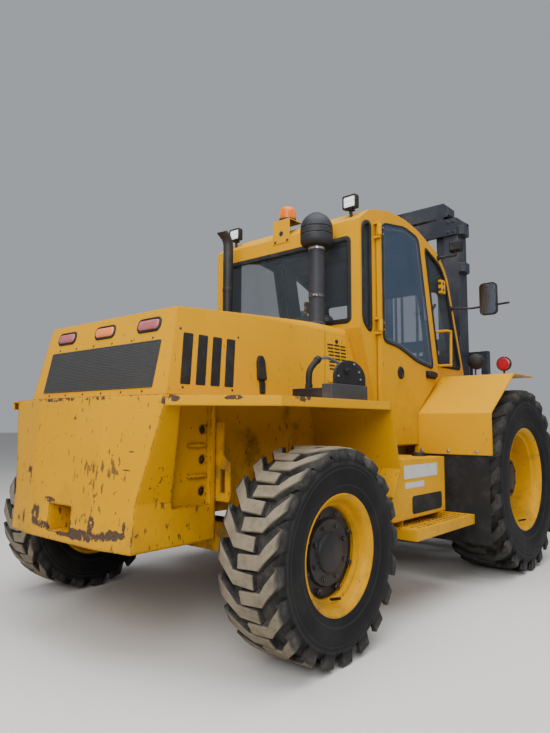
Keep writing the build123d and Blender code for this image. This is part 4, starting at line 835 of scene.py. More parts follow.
def widened(points, by):
    # each point moved away from the outline's inside
    count = len(points)
    area = sum(points[i - 1][0] * points[i][1] - points[i][0] * points[i - 1][1] for i in range(count))
    sign = 1 if area > 0 else -1
    made = []
    for i in range(count):
        edges = []
        for a, b in ((points[i - 1], points[i]), (points[i], points[(i + 1) % count])):
            edge = Vector(b) - Vector(a)
            if edge.length > 1e-7:
                edges.append(Vector((edge.y, -edge.x)).normalized() * sign)
        mean = sum(edges, Vector((0, 0)))
        mean = mean.normalized() if mean.length > 1e-6 else Vector((0, 0))
        share = max(mean.dot(edges[0]), 0.4) if edges else 1.0
        made.append(tuple(Vector(points[i]) + mean * by / share))
    return made


class Board:
    # a plane to draw on, facing out of the machine
    def __init__(self, origin, right, up):
        self.origin, self.right, self.up = Vector(origin), Vector(right).normalized(), Vector(up).normalized()
        self.out = self.right.cross(self.up).normalized()

    def at(self, across, up, out=0.0):
        return self.origin + self.right * across + self.up * up + self.out * out

    def rings(self, points, steps):
        # the outline at each step's distance out, widened by its second number
        return [[self.at(a, u, out) for a, u in (widened(points, by) if by else points)] for out, by in steps]


def gasket(bm, board, outline, wide, low, high, over):
    # rubber strip round an opening, from wide inside the outline to over outside it
    hoop(bm, board.rings(outline, ((low, over), (high - 0.002, over), (high, over - 0.003), (high, 0.003 - wide),
                                   (high - 0.003, -wide), (low, -wide))))


def plate(bm, board, outline, low, high, ease=0.0):
    steps = ((low, 0), (high - ease, 0), (high, -ease)) if ease else ((low, 0), (high, 0))
    stack(bm, board.rings(outline, steps))


coverFoot = 1.18
tailLean = 0.091 / 0.413       # ahead for each metre up
flankLean = 0.044 / 0.487      # inwards for each metre up


def tailBoard(y, z):
    return Board((rearX - 0.585 + tailLean * (z - coverFoot), y, z), (0, -1, 0), (tailLean, 0, 1))


def flankBoard(x, z, side):
    # right is ahead on the machine's right and back on its left, so that both face outwards
    return Board((x, side * (0.592 - flankLean * (z - coverFoot)), z), (-side, 0, 0), (0, -side * flankLean, 1))


def sideBoard(y, side):
    return Board((0, side * y, 0), (-side, 0, 0), (0, 0, 1))


def onFlank(board, points, side):
    # x, z points in metres drawn on a leaning side
    return [(-side * x, (z - board.origin.z) / board.up.z) for x, z in points]


# Engine cover: grille, screws, lamps, slots, latches

grille = {"half": 0.482, "low": 1.216, "high": 1.440, "pitch": 0.0084, "bar": 0.0032, "deep": 0.0020, "corner": 0.006}
board = tailBoard(0, (grille["low"] + grille["high"]) / 2)
tilt = Matrix((board.right, board.up, board.out)).transposed().to_4x4()
halfWide, halfHigh = grille["half"], (grille["high"] - grille["low"]) / 2
webs = []
for half, size, corner, step in (
        (halfWide, (grille["bar"], 2 * halfHigh, grille["deep"]), board.at(-halfWide, 0, 0.0016), board.right),
        (halfHigh, (2 * halfWide, grille["bar"], grille["deep"] * 0.9), board.at(0, -halfHigh, 0.0016), board.up)):
    bm = bmesh.new()
    bmesh.ops.create_cube(bm, size=1, matrix=tilt @ Matrix.Diagonal((*size, 1)))
    bar = pattern(bm)
    webs.append(gridTree.grow("web", {"Part": bar, "Columns": int(2 * half / grille["pitch"]), "Rows": 1,
                                      "Corner": tuple(corner), "Step": tuple(step * grille["pitch"]),
                                      "Finish": finishes["grille"]}))
    bpy.data.objects.remove(bar)
bm = bmesh.new()
hoop(bm, board.rings(rounded(halfWide, halfHigh, grille["corner"]),
                     ((0.0003, 0.003), (0.0030, 0.003), (0.0030, -0.004), (0.0003, -0.004))))
plate(bm, board, rounded(0.455, 0.108, grille["corner"]), -0.0100, -0.0063)
plate(bm, board, rounded(0.480, 0.110, grille["corner"]), 0.0001, 0.0013)
merged("grille-web", webs + [tightened(bm, "back")], "grille", "hood", None, ("hood_grille",))

bm = bmesh.new()
for z in (grille["low"] - 0.016, grille["high"] + 0.014):
    for k in range(6):
        spot = tailBoard(-0.415 + 0.83 * k / 5, z)
        screw(bm, spot.origin, spot.out, 0.0055, 0.004)
for side in (-1, 1):
    for x, z in ((-0.485, 1.488), (-0.488, 1.217), (-0.106, 1.488), (-0.170, 1.217)):
        spot = flankBoard(rearX + x, z, side)
        screw(bm, spot.origin, spot.out, 0.006, 0.004)
settle("hood-screws", bm, "blackMetal", "hood", 40)

tailLamp = {"z": 1.52, "aside": 0.367, "outline": rounded(0.0790, 0.0250, 0.0205, 6)}
lampPlaces = {"middle": (0.0,), "sides": (-tailLamp["aside"], tailLamp["aside"])}
for lampName, look in (("middle", "amberPink"), ("sides", "mauveLens")):
    bm = bmesh.new()
    for y in lampPlaces[lampName]:
        stack(bm, tailBoard(y, tailLamp["z"]).rings(tailLamp["outline"], (
            (-0.010, 0), (0.005, 0), (0.0085, -0.002), (0.0115, -0.006), (0.0132, -0.012))))
    settle("tail-lamp-" + lampName, bm, look, "hood", 45, ("tail_lamps",))
bm = bmesh.new()
for y in (-tailLamp["aside"], 0.0, tailLamp["aside"]):
    hoop(bm, tailBoard(y, tailLamp["z"]).rings(tailLamp["outline"], (
        (-0.004, 0.012), (0.003, 0.012), (0.0065, 0.009), (0.0075, 0.005), (0.0065, 0.0012), (-0.004, 0.0012))))
settle("lamp-grommets", bm, "rubber", "hood", 50)

slot = {"count": 4, "first": -0.455, "pitch": 0.093, "low": 1.231, "high": 1.472, "slant": 0.035, "wide": 0.060}
bm = bmesh.new()
for side in (-1, 1):
    spot = flankBoard(0, (slot["low"] + slot["high"]) / 2, side)
    for k in range(slot["count"]):
        x = rearX + slot["first"] + slot["pitch"] * k - 0.012
        outline = [(x, slot["high"]), (x + slot["wide"], slot["high"]),
                   (x + slot["wide"] - slot["slant"], slot["low"]), (x - slot["slant"], slot["low"])]
        # each slot is a thin near-black plate laid on the flank: painted shade in place of the opening
        plate(bm, spot, softCorners(onFlank(spot, outline, side), 0.006, 2), 0.0002, 0.0016, 0.0006)
settle("slot-covers", bm, "plastic", "hood", 30)

latch = {
    "x": rearX + 0.050, "z": 1.290,
    "lower": [(-0.019, -0.083), (0.019, -0.083), (0.019, 0.010), (-0.019, 0.010)],
    "upper": [(-0.034, -0.012), (0.034, -0.012), (0.030, 0.086), (0.016, 0.118), (-0.016, 0.118), (-0.030, 0.086)],
}
for sideName, side in sides:
    spot = flankBoard(latch["x"], latch["z"], side)
    bm = bmesh.new()
    plate(bm, spot, softCorners(latch["lower"], 0.006, 3), -0.002, 0.007, 0.002)
    plate(bm, spot, softCorners(latch["upper"], 0.010, 3), -0.002, 0.0145, 0.004)
    pad = Vector((0.004, 0.004, 0.004))
    block(bm, spot.at(-0.012, -0.070, 0.006) - pad, spot.at(0.012, -0.030, 0.006) + pad)
    settle("latch-" + sideName, bm, "rubber", "hood", 35, ("hood_latches",))
print("engine cover fitted")

# Glazing: x from the front axle, z

glazing = {
    "door": [(-1.188, 2.385), (-1.188, 1.590), (-0.990, 1.570), (-0.720, 1.490), (-0.470, 1.456),
             (-0.672, 2.405), (-0.880, 2.435)],
    "rearQuarter": [(-1.372, 1.700), (-1.275, 1.640), (-1.275, 2.380), (-1.372, 2.350)],
    "frontQuarter": [(-0.300, 1.500), (0.100, 1.500), (-0.150, 2.190), (-0.235, 2.290), (-0.495, 2.385)],
    "rear": (0.575, 1.705, 2.260),
    "screenTop": (frontX - 0.100, 0, 2.200), "screenFoot": (frontX + 0.165, 0, 1.465),
}


def paneOutline(name, side, corner, steps):
    return softCorners([(-side * (frontX + x), z) for x, z in glazing[name]], corner, steps)


for sideName, side in sides:
    spot = sideBoard(0.0, side)
    outline = paneOutline("door", side, 0.055, 6)
    bm = bmesh.new()
    plate(bm, spot, outline, 0.6855, 0.6905, 0.0015)
    settle("door-glass-" + sideName, bm, "glass", "door_" + sideName, 30, ("door_glass_" + sideName,))
    bm = bmesh.new()
    hoop(bm, spot.rings(outline, ((0.6835, 0.003), (0.6900, 0.004), (0.6922, 0.001), (0.6922, -0.009),
                                  (0.6908, -0.011), (0.6835, -0.011))))
    hoop(bm, spot.rings(outline, ((0.6836, -0.004), (0.6853, -0.004), (0.6853, -0.030), (0.6836, -0.030))))
    settle("door-gasket-" + sideName, bm, "rubber", "door_" + sideName, 30)
bm = bmesh.new()
for sideName, side in sides:
    spot = sideBoard(0.0, side)
    for pane in ("rearQuarter", "frontQuarter"):
        outline = paneOutline(pane, side, 0.050, 5)
        gasket(bm, spot, outline, 0.012, 0.642, 0.6545, 0.012)
        gasket(bm, spot, outline, 0.005, 0.6065, 0.6435, 0.003)
halfWide, low, high = glazing["rear"]
rearWindow = moved(rounded(halfWide, (high - low) / 2, 0.030, 5), 0, (low + high) / 2)
gasket(bm, Board((cabBackX, 0, 0), (0, -1, 0), (0, 0, 1)), rearWindow, 0.022, -0.012, 0.006, 0.010)
screenTop, screenFoot = Vector(glazing["screenTop"]), Vector(glazing["screenFoot"])
screenBoard = Board((screenTop + screenFoot) / 2, (0, 1, 0), screenTop - screenFoot)
gasket(bm, screenBoard, rounded(0.570, 0.339, 0.060, 6), 0.022, -0.014, 0.006, 0.012)
settle("window-gaskets", bm, "rubber", smooth=35)

# Doors: paddle handle, lock, hinge sleeves

doorFit = {"handleX": -0.512, "lock": (-0.962, 0.685, 1.399), "hingeX": -1.225, "hingeZ": (1.690, 2.330)}
for sideName, side in sides:
    spot = sideBoard(0.0, side)
    body = "door_" + sideName
    bm = bmesh.new()
    middle = -side * (frontX + doorFit["handleX"])
    plate(bm, spot, moved(rounded(0.080, 0.028, 0.014, 4), middle, 1.412), 0.6852, 0.694, 0.003)
    plate(bm, spot, moved(rounded(0.068, 0.017, 0.010, 4), middle + side * 0.006, 1.413), 0.697, 0.7145, 0.004)
    block(bm, (frontX - 0.556, side * 0.690, 1.404), (frontX - 0.536, side * 0.702, 1.422))
    settle("door-handle-" + sideName, bm, "plastic", body, 35, ("door_handle_" + sideName,))
    bm = bmesh.new()
    x, y, z = doorFit["lock"]
    turned(bm, [(-0.002, 0.0), (-0.002, 0.043), (0.004, 0.043), (0.009, 0.036), (0.009, 0.024), (0.005, 0.021),
                (0.005, 0.0)], (frontX + x, side * y, z), (0, side, 0), 28)
    settle("door-lock-" + sideName, bm, "plastic", body, 35)
    bm = bmesh.new()
    hingeX = frontX + doorFit["hingeX"]
    for z in doorFit["hingeZ"]:
        rod(bm, (hingeX, side * 0.690, z - 0.036), (hingeX, side * 0.690, z + 0.036), 0.0155, 20)
        for dz in (-0.022, 0.022):
            screw(bm, (frontX - 1.180, side * 0.6905, z + dz), (0, side, 0), 0.006, 0.004)
    settle("hinge-sleeves-" + sideName, bm, "cab", body, 35)
print("cab glazed")

# Cowl: louvred access panels

cowlPanel = {"low": 1.300, "high": 1.595, "back": 0.690, "front": 0.885, "lean": 0.052, "middleZ": 1.4425,
             "columns": 3, "rows": 8, "step": 0.066, "drop": 0.0215, "shadeBar": (0.0275, 0.0030, 0.0042)}
bm = bmesh.new()
# each bar is near black: painted shade of the opening under a louvre
blockAt(bm, Vector((0, 0, 0)), cowlPanel["shadeBar"])
shadeBar = pattern(bm)
for sideName, side in reversed(sides):
    spot = flankBoard(0, cowlPanel["middleZ"], side)
    bm = bmesh.new()
    back, front = rearX + cowlPanel["back"], rearX + cowlPanel["front"]
    outline = [(back - cowlPanel["lean"], cowlPanel["low"]), (front, cowlPanel["low"]),
               (front, cowlPanel["high"]), (back, cowlPanel["high"])]
    plate(bm, spot, softCorners(onFlank(spot, outline, side), 0.030, 5), -0.001, 0.0035, 0.0012)
    settle("cowl-panel-" + sideName, bm, "body", smooth=30)
    first = spot.at(-side * (rearX + 0.700), 0.092, 0.0030)
    louvres = gridTree.grow("louvres", {
        "Part": shadeBar, "Columns": cowlPanel["columns"], "Rows": cowlPanel["rows"], "Corner": tuple(first),
        "Step": (cowlPanel["step"], 0.0, 0.0), "Rise": tuple(spot.up * -cowlPanel["drop"]),
        "Finish": finishes["plastic"]})
    merged("cowl-louvres-" + sideName, [louvres], "plastic")
    bm = bmesh.new()
    knob = spot.at(-side * (rearX + 0.765), 0.118, 0.003)
    turned(bm, [(0.0, 0.0), (0.0, 0.012), (0.008, 0.012), (0.011, 0.009), (0.011, 0.0)], knob, spot.out, 20)
    low = spot.at(-side * (rearX + 0.765), -0.098, 0.002)
    blockAt(bm, low, (0.030, 0.002, 0.010))
    blockAt(bm, low + spot.out * 0.006, (0.018, 0.006, 0.007))
    settle("cowl-knobs-" + sideName, bm, "plastic", smooth=35)
bpy.data.objects.remove(shadeBar)

# Exhaust with an oval mouth, air intake, beacon

stackX = cabBackX - 0.155
stackFoot = 1.6673
exhaust = {"y": 0.380, "radius": 0.037, "wall": 0.003, "clamps": (1.70, 2.02), "spine": (
    (0, stackFoot), (0, 1.72), (0, 2.05), (0, 2.30), (0, 2.345), (-0.004, 2.372), (-0.014, 2.395), (-0.030, 2.414),
    (-0.050, 2.427), (-0.070, 2.4375))}
bm = bmesh.new()
y, spine = exhaust["y"], exhaust["spine"]
outer, inner = [], []
for i, (dx, z) in enumerate(spine):
    after, before = spine[min(i + 1, len(spine) - 1)], spine[max(i - 1, 0)]
    heading = Vector((after[0] - before[0], 0, after[1] - before[1])).normalized()
    if i == len(spine) - 1:
        heading = Vector((-0.35, 0, 0.94)).normalized()       # the mouth is cut aslant
    across = Vector((heading.z, 0, -heading.x))
    for rings, reach in ((outer, exhaust["radius"] - 0.0005), (inner, exhaust["radius"] - 0.0005 - exhaust["wall"])):
        rings.append([Vector((stackX + dx, y, z)) + around(across, Vector((0, 1, 0)), k / 32) * reach for k in range(32)])
stack(bm, outer + list(reversed(inner[4:])))
for z in exhaust["clamps"]:
    collar(bm, (stackX, y, z), (0, 0, 1), 0.012, 0.0365, 0.0395, 32)
turned(bm, [(0.0, 0.030), (0.0, 0.060), (0.004, 0.060), (0.006, 0.050), (0.006, 0.030)], (stackX, y, 1.6675), (0, 0, 1), 32)
settle("exhaust-pipe", bm, "blackMetal", smooth=40, replaced=("exhaust",))

intake = {"y": -0.425, "pipe": 0.0505, "clamps": (1.86, 2.17), "profile": (
    (0.0, 0.0), (0.0, 0.058), (0.020, 0.058), (0.026, 0.0505), (0.180, 0.0505), (0.182, 0.0535), (0.204, 0.0535),
    (0.206, 0.0505), (0.5226, 0.0505), (0.5228, 0.088), (0.530, 0.096), (0.541, 0.103), (0.556, 0.1055),
    (0.585, 0.1055), (0.587, 0.101), (0.592, 0.101), (0.594, 0.1055), (0.628, 0.1055), (0.630, 0.100),
    (0.636, 0.100), (0.638, 0.1045), (0.660, 0.102), (0.684, 0.092), (0.704, 0.078), (0.722, 0.058),
    (0.736, 0.036), (0.7435, 0.016), (0.7445, 0.0))}
bm = bmesh.new()
turned(bm, intake["profile"], (stackX, intake["y"], stackFoot), (0, 0, 1), 56)
settle("air-intake", bm, "intake", smooth=36, replaced=("pre_cleaner",))
bm = bmesh.new()
reach = intake["pipe"] + 0.003
for z in intake["clamps"]:
    collar(bm, (stackX, intake["y"], z), (0, 0, 1), 0.007, reach - 0.004, reach, 40)
    bolt(bm, (stackX - reach, intake["y"] - 0.012, z), (0, -1, 0), 0.006, 0.020)
settle("intake-clamps", bm, "zinc", smooth=36)

beacon = {"x": cabBackX + 0.068, "z": 2.500, "ribs": 24, "radius": 0.0605}
bm = bmesh.new()
turned(bm, [(0.018, 0.0), (0.018, 0.060), (0.026, 0.062), (0.082, 0.0565), (0.098, 0.050), (0.108, 0.038),
            (0.1135, 0.020), (0.1145, 0.0)], (beacon["x"], 0, beacon["z"]), (0, 0, 1), 48)
for k in range(beacon["ribs"]):
    out = around(Vector((1, 0, 0)), Vector((0, 1, 0)), k / beacon["ribs"])
    foot = Vector((beacon["x"], 0, beacon["z"] + 0.030)) + out * beacon["radius"]
    rod(bm, foot, foot - out * 0.004 + Vector((0, 0, 0.048)), 0.0035, 6)
settle("beacon-lens", bm, "amberLens", smooth=38, replaced=("beacon",))
bm = bmesh.new()
turned(bm, [(0.0, 0.0), (0.0, 0.065), (0.012, 0.065), (0.020, 0.061), (0.020, 0.0)],
       (beacon["x"], 0, beacon["z"] + 0.0002), (0, 0, 1), 48)
settle("beacon-foot", bm, "plastic", smooth=38)
bm = bmesh.new()
for y in (-0.055, 0.055):
    bolt(bm, (cabBackX - 0.004, y, 2.345), (-1, 0, 0), 0.007, 0.006, 0.010)
disc(bm, (cabBackX - 0.0042, 0, 2.40), (-1, 0, 0), -0.001, 0.0006, 0.019, 28)
settle("beacon-bolts", bm, "blackMetal", smooth=38)

# Work lights: rounded housings with a pale lens and light spots

workLights = {
    "rear": {"places": ((-1.345, -0.550), (-1.345, 0.510)), "facing": -1, "z": 2.510, "half": (0.054, 0.047)},
    "front": {"places": ((-0.100, -0.725), (-0.100, 0.725)), "facing": 1, "z": 2.470, "half": (0.052, 0.045)},
}
deep = 0.0275
for group, light in workLights.items():
    shell, lens, spots = bmesh.new(), bmesh.new(), bmesh.new()
    halfY, halfZ = light["half"]
    for x, y in light["places"]:
        x += frontX
        spot = Board((x, y, light["z"]), (0, light["facing"], 0), (0, 0, 1))
        stack(shell, spot.rings(rounded(halfY, halfZ, 0.012, 4), (
            (-deep, -0.014), (-deep + 0.012, -0.003), (-0.004, 0), (deep - 0.004, 0), (deep, -0.003),
            (deep, -0.010), (deep - 0.006, -0.0125))))
        for k in range(5):
            fin = -halfY + 0.018 + (2 * halfY - 0.036) * k / 4
            blockAt(shell, spot.at(fin, 0, -deep + 0.006), (0.003, 0.0015, halfZ - 0.010))
        face = rounded(halfY - 0.0125, halfZ - 0.0125, 0.007, 4)
        plate(lens, spot, face, deep - 0.0075, deep - 0.0035, 0.001)
        for a in (-0.024, 0.0, 0.024):
            for u in (-0.017, 0.017):
                turned(spots, [(-0.0005, 0.0), (-0.0005, 0.0095), (0.0012, 0.0085), (0.0016, 0.0)],
                       spot.at(a, u, deep - 0.0034), spot.out, 14)
        if group == "rear":
            tube(shell, [(x, y, 2.400), (x, y, 2.470)], 0.010, 14)
            block(shell, (x - 0.022, y - 0.020, 2.455), (x + 0.022, y + 0.020, 2.462))
            tube(shell, [(x + 0.020, y + 0.022, 2.475), (x + 0.026, y + 0.030, 2.452), (x + 0.030, y + 0.024, 2.430),
                         (x + 0.036, y + 0.020, 2.418)], 0.0035, 8, 0.01)
        else:
            side = 1 if y > 0 else -1
            foot = (frontX - 0.270, side * 0.6503, 2.350)
            tube(shell, [foot, (frontX - 0.270, side * 0.705, 2.350), (x, y, 2.395), (x, y, 2.430)], 0.0095, 14, 0.035)
            disc(shell, foot, (0, side, 0), -0.0002, 0.005, 0.022, 20)
    settle("work-lights-" + group, shell, "plastic", smooth=35, replaced=("work_lights",))
    settle("work-lenses-" + group, lens, "clearLens", smooth=35)
    settle("light-spots-" + group, spots, "ledSpot", smooth=35)

# Mirrors: rounded shells on a straight arm that passes through them

mirror = {"x": frontX + 0.010, "y": 0.935, "z": 2.032, "armZ": 1.975, "half": (0.0685, 0.1275), "corner": 0.034}
for sideName, side in sides:
    bm = bmesh.new()
    foot = (frontX - 0.060, side * 0.6503, mirror["armZ"])
    tube(bm, [foot, (frontX - 0.060, side * 0.700, mirror["armZ"]), (frontX + 0.015, side * 0.790, mirror["armZ"]),
              (frontX + 0.015, side * 1.090, mirror["armZ"] + 0.010)], 0.0085, 16, 0.03)
    disc(bm, foot, (0, side, 0), -0.0002, 0.006, 0.024, 20)
    back = Board((mirror["x"], side * mirror["y"], mirror["z"]), (0, -1, 0), (0, 0, 1))
    stack(bm, back.rings(rounded(*mirror["half"], mirror["corner"], 6), (
        (-0.0255, -0.030), (-0.0245, -0.018), (-0.018, -0.007), (-0.008, 0), (0.0170, 0), (0.0195, -0.003),
        (0.0195, -0.008), (0.0165, -0.010))))
    block(bm, (frontX + 0.008, side * 0.915, 1.962), (frontX + 0.034, side * 0.955, 1.996))
    settle("mirror-" + sideName, bm, "plastic", smooth=38, replaced=("mirrors",))
    bm = bmesh.new()
    plate(bm, back, rounded(0.0580, 0.1170, 0.026, 6), 0.0160, 0.0180, 0.0004)
    settle("mirror-glass-" + sideName, bm, "mirrorGlass", smooth=30)

# Signal lamps and headlights

frontLamps = {"signal": (frontX - 0.170, 1.100, 1.495), "head": (frontX + 0.060, 0.780, 1.556), "fenderTop": 1.4163}
signalLens = [(0.004, 0.0), (0.004, 0.047), (0.010, 0.047), (0.0125, 0.043), (0.0145, 0.028), (0.0150, 0.0)]
signals, signalRims, shells, glasses = bmesh.new(), bmesh.new(), bmesh.new(), bmesh.new()


def lampStem(bm, x, y, high, half):
    # stem and foot plate on a fender
    foot = frontLamps["fenderTop"]
    tube(bm, [(x, y, foot), (x, y, high)], 0.0075, 12)
    block(bm, (x - half[0], y - half[1], foot), (x + half[0], y + half[1], foot + 0.0032))


for side in (-1, 1):
    x, y, z = frontLamps["signal"]
    for facing in (-1, 1):
        turned(signals, signalLens, (x, side * y, z), (facing, 0, 0), 40)
    turned(signalRims, [(-0.0115, 0.0465), (-0.0115, 0.0525), (-0.006, 0.0535), (0.006, 0.0535), (0.0115, 0.0525),
                        (0.0115, 0.0465)], (x, side * y, z), (1, 0, 0), 40)
    lampStem(signalRims, x, side * y, 1.444, (0.020, 0.015))
    x, y, z = frontLamps["head"]
    turned(shells, [(0.0, 0.0), (0.0, 0.030), (0.010, 0.050), (0.026, 0.0625), (0.066, 0.0645), (0.069, 0.0625),
                    (0.069, 0.057), (0.058, 0.056), (0.052, 0.0)], (x, side * y, z), (1, 0, 0), 44)
    turned(glasses, [(0.059, 0.0), (0.059, 0.0555), (0.063, 0.0555), (0.0665, 0.044), (0.0685, 0.024), (0.0690, 0.0)],
           (x, side * y, z), (1, 0, 0), 40)
    lampStem(shells, x + 0.030, side * y, 1.500, (0.020, 0.015))
settle("signal-lenses", signals, "redLens", smooth=38, replaced=("signal_lamps",))
settle("signal-rims", signalRims, "plastic", smooth=38)
settle("headlight-shells", shells, "plastic", smooth=38, replaced=("headlights",))
settle("headlight-glasses", glasses, "clearLens", smooth=38)
print("lamps and mirrors made")

# Fenders, tanks and steps

fenderBolts, flapBolts = bmesh.new(), bmesh.new()
for side in (-1, 1):
    for y in (0.705, 0.900, 1.095):
        bolt(fenderBolts, (frontX - 0.7182, side * y, 0.873), (-1, 0, 0), 0.008, 0.006, 0.0125)
    for y in (0.80, 0.965, 1.13):
        bolt(flapBolts, (frontX - 0.7005, side * y, 0.880), (1, 0, 0), 0.008, 0.006, 0.0125)
settle("fender-bolts", fenderBolts, "zinc", smooth=30)
settle("flap-bolts", flapBolts, "zinc", smooth=30)
fenderEdge = ((-0.7140, 0.855), (-0.7140, 1.1265), (-0.2560, 1.4125), (0.155, 1.4125))
bm = bmesh.new()
for side in (-1, 1):
    tube(bm, [(frontX + x, side * 1.1965, z) for x, z in fenderEdge], 0.0050, 8, 0.03)
settle("fender-beads", bm, "body", smooth=40)

tankSheets = {                 # x from the rear axle to x, z to z, corner
    # the recess is a flat near-black sheet on the tank's face: painted shade in place of the hollow
    "recess": ((0.880, 1.262, 0.540, 0.642, 0.020),),
    "plates": ((0.790, 1.205, 0.742, 0.818, 0.004), (0.800, 1.030, 0.688, 0.722, 0.004)),
}
for part, finish in (("recess", "rubber"), ("plates", "paper")):
    bm = bmesh.new()
    for side in (-1, 1):
        for x0, x1, z0, z1, corner in tankSheets[part]:
            outline = rounded((x1 - x0) / 2, (z1 - z0) / 2, corner, 4)
            outline = moved(outline, -side * (rearX + (x0 + x1) / 2), (z0 + z1) / 2)
            plate(bm, sideBoard(1.0, side), outline, -0.001, 0.0012)
    settle("tank-" + part, bm, finish)
bm = bmesh.new()
for side in (-1, 1):
    turned(bm, [(0.0, 0.0), (0.0, 0.046), (0.004, 0.046), (0.006, 0.040), (0.020, 0.038), (0.024, 0.034), (0.024, 0.0)],
           (frontX - 1.060, side * 0.86, 0.851), (0, 0, 1), 28)
settle("tank-caps", bm, "plastic", smooth=36)

treads = {"from": rearX + 0.740, "to": frontX - 0.790, "y": 0.832, "z": 0.4815, "pitch": 0.052, "rows": 8,
          "row": 0.034, "half": (0.016, 0.004, 0.0035)}
bm = bmesh.new()
blockAt(bm, Vector((0, 0, 0)), treads["half"])
bar = pattern(bm)
count = int((treads["to"] - treads["from"] - 0.06) / treads["pitch"])
for sideName, side in sides:
    marks = gridTree.grow("treads", {
        "Part": bar, "Columns": count, "Rows": treads["rows"], "Stagger": 0.5,
        "Corner": (treads["from"] + 0.055, side * treads["y"], treads["z"]), "Step": (treads["pitch"], 0.0, 0.0),
        "Rise": (0.0, side * treads["row"], 0.0), "Finish": finishes["stepGrip"]})
    merged("step-treads-" + sideName, [marks], "stepGrip")
bpy.data.objects.remove(bar)

# Battery tray and its fittings on the right ledge

trayFoot = Vector((rearX + 0.150, -0.960, 1.1743))
trayHalf = (0.165, 0.130)
panel = Vector((rearX + 0.334, -0.940, 1.2535))
bm = bmesh.new()
board = Board(trayFoot + Vector((*trayHalf, 0)), (1, 0, 0), (0, 1, 0))
stack(bm, board.rings(rounded(*trayHalf, 0.020, 4),
                      ((0.0, 0), (0.056, 0), (0.0597, -0.003), (0.0597, -0.008), (0.046, -0.011))))
arch = [(0.146 * math.cos(math.pi * k / 24), 0.036 + 0.092 * math.sin(math.pi * k / 24)) for k in range(25)]
plate(bm, Board(panel, (1, 0, 0), (0, 0, 1)), arch + [(-0.146, -0.002), (0.146, -0.002)], 0.0, 0.010, 0.003)
turned(bm, [(0.010, 0.016), (0.024, 0.016), (0.026, 0.012), (0.026, 0.0)], panel + Vector((-0.040, 0, 0.070)), (0, -1, 0), 20)
settle("battery-tray", bm, "plastic", smooth=36, replaced=("battery_box",))
bm = bmesh.new()
for dx, dz in ((0.075, 0.070), (0.088, 0.032), (0.030, 0.108), (-0.115, 0.040)):
    bolt(bm, panel + Vector((dx, -0.010, dz)), (0, -1, 0), 0.006, 0.006)
for dx in (0.070, 0.270):
    for dy in (0.090, 0.225):
        bolt(bm, trayFoot + Vector((dx, dy, 0.0585)), (0, 0, 1), 0.006, 0.006, 0.010)
settle("tray-bolts", bm, "zinc", smooth=30)
bm = bmesh.new()
board = Board(trayFoot + Vector((0.165, 0.030, 0)), (1, 0, 0), (0, 1, 0))
plate(bm, board, rounded(0.1665, 0.0312, 0.006, 3), 0.0, 0.0795, 0.003)
block(bm, trayFoot + Vector((0.080, -0.0035, 0.004)), trayFoot + Vector((0.084, 0.01, 0.076)))
settle("junction-box", bm, "greyPlastic", smooth=36)
elbow = {"radius": 0.0165, "path": ((0.174, 1.2243), (0.174, 1.328), (0.262, 1.398)),
         "clamps": (((0.174, 1.245), (0, 0, 1)), ((0.248, 1.387), (0.78, 0, 0.62)))}
bm = bmesh.new()
tube(bm, [(rearX + x, -0.800, z) for x, z in elbow["path"]], elbow["radius"], 18, 0.04, 6)
for (x, z), heading in elbow["clamps"]:
    collar(bm, (rearX + x, -0.800, z), heading, 0.010, 0.014, 0.0195, 24)
settle("rubber-elbow", bm, "rubber", smooth=50)
bm = bmesh.new()
for k, (dx, dz) in enumerate(((-0.036, 0.078), (-0.020, 0.064), (-0.050, 0.060))):
    tube(bm, [(rearX + 0.255, -0.800 - 0.005 * k, 1.392), (rearX + 0.292, -0.822 - 0.004 * k, 1.410 - 0.006 * k),
              (rearX + 0.300, -0.900, 1.372 - 0.004 * k), panel + Vector((dx, -0.016, dz))], 0.0042, 10, 0.03, 6)
settle("tray-lines", bm, "greyPlastic", smooth=50)
bm = bmesh.new()
for side in (-1, 1):
    for z in (0.730, 0.879, 1.025):
        disc(bm, (rearX - 0.277, side * 0.484, z), (0, side, 0), -0.004, 0.002, 0.0224, 24)
        bolt(bm, (rearX - 0.277, side * 0.486, z), (0, side, 0), 0.009, 0.007, 0.015)
settle("core-plugs", bm, "hub", smooth=30)

# Driver's place: padded seat, steering wheel, levers

seatX = frontX - 0.890
cushions = {"seat-cushion": ((-0.150, -0.245, 1.178), (0.250, 0.245, 1.300)),
            "seat-back": ((-0.268, -0.232, 1.295), (-0.150, 0.232, 1.850))}
plump, squareness = 0.10, 0.045
for cushionName, corners in cushions.items():
    bm = bmesh.new()
    bmesh.ops.create_cube(bm, size=1)
    bmesh.ops.subdivide_edges(bm, edges=bm.edges, cuts=11, use_grid_fill=True)
    low, high = (Vector((seatX + x, y, z)) for x, y, z in corners)
    size = high - low
    for vert in bm.verts:
        p = vert.co * 2
        corner = 1 - squareness * (p.x ** 4 * p.y ** 4 + p.y ** 4 * p.z ** 4 + p.x ** 4 * p.z ** 4)
        bulge = 1 - plump * (p.x ** 2 + p.y ** 2 + p.z ** 2 - max(abs(p.x), abs(p.y), abs(p.z)) ** 2) * 0.5
        vert.co = Vector((p.x * size.x, p.y * size.y, p.z * size.z)) / 2 * corner * bulge + (low + high) / 2
    piece = settle(cushionName, bm, "seat", smooth=60, replaced=("seat",))
    smoother = piece.modifiers.new("smooth", "SUBSURF")
    smoother.levels = smoother.render_levels = 1
bm = bmesh.new()
block(bm, (seatX - 0.245, -0.225, 1.1705), (seatX + 0.240, 0.225, 1.1865))
block(bm, (seatX - 0.250, -0.205, 1.180), (seatX - 0.152, 0.205, 1.330))
for side in (-1, 1):
    tube(bm, [(seatX - 0.20, side * 0.235, 1.215), (seatX - 0.20, side * 0.241, 1.40), (seatX + 0.10, side * 0.241, 1.42)],
         0.011, 12, 0.05)
settle("seat-shell", bm, "plastic", smooth=40, replaced=("seat",))

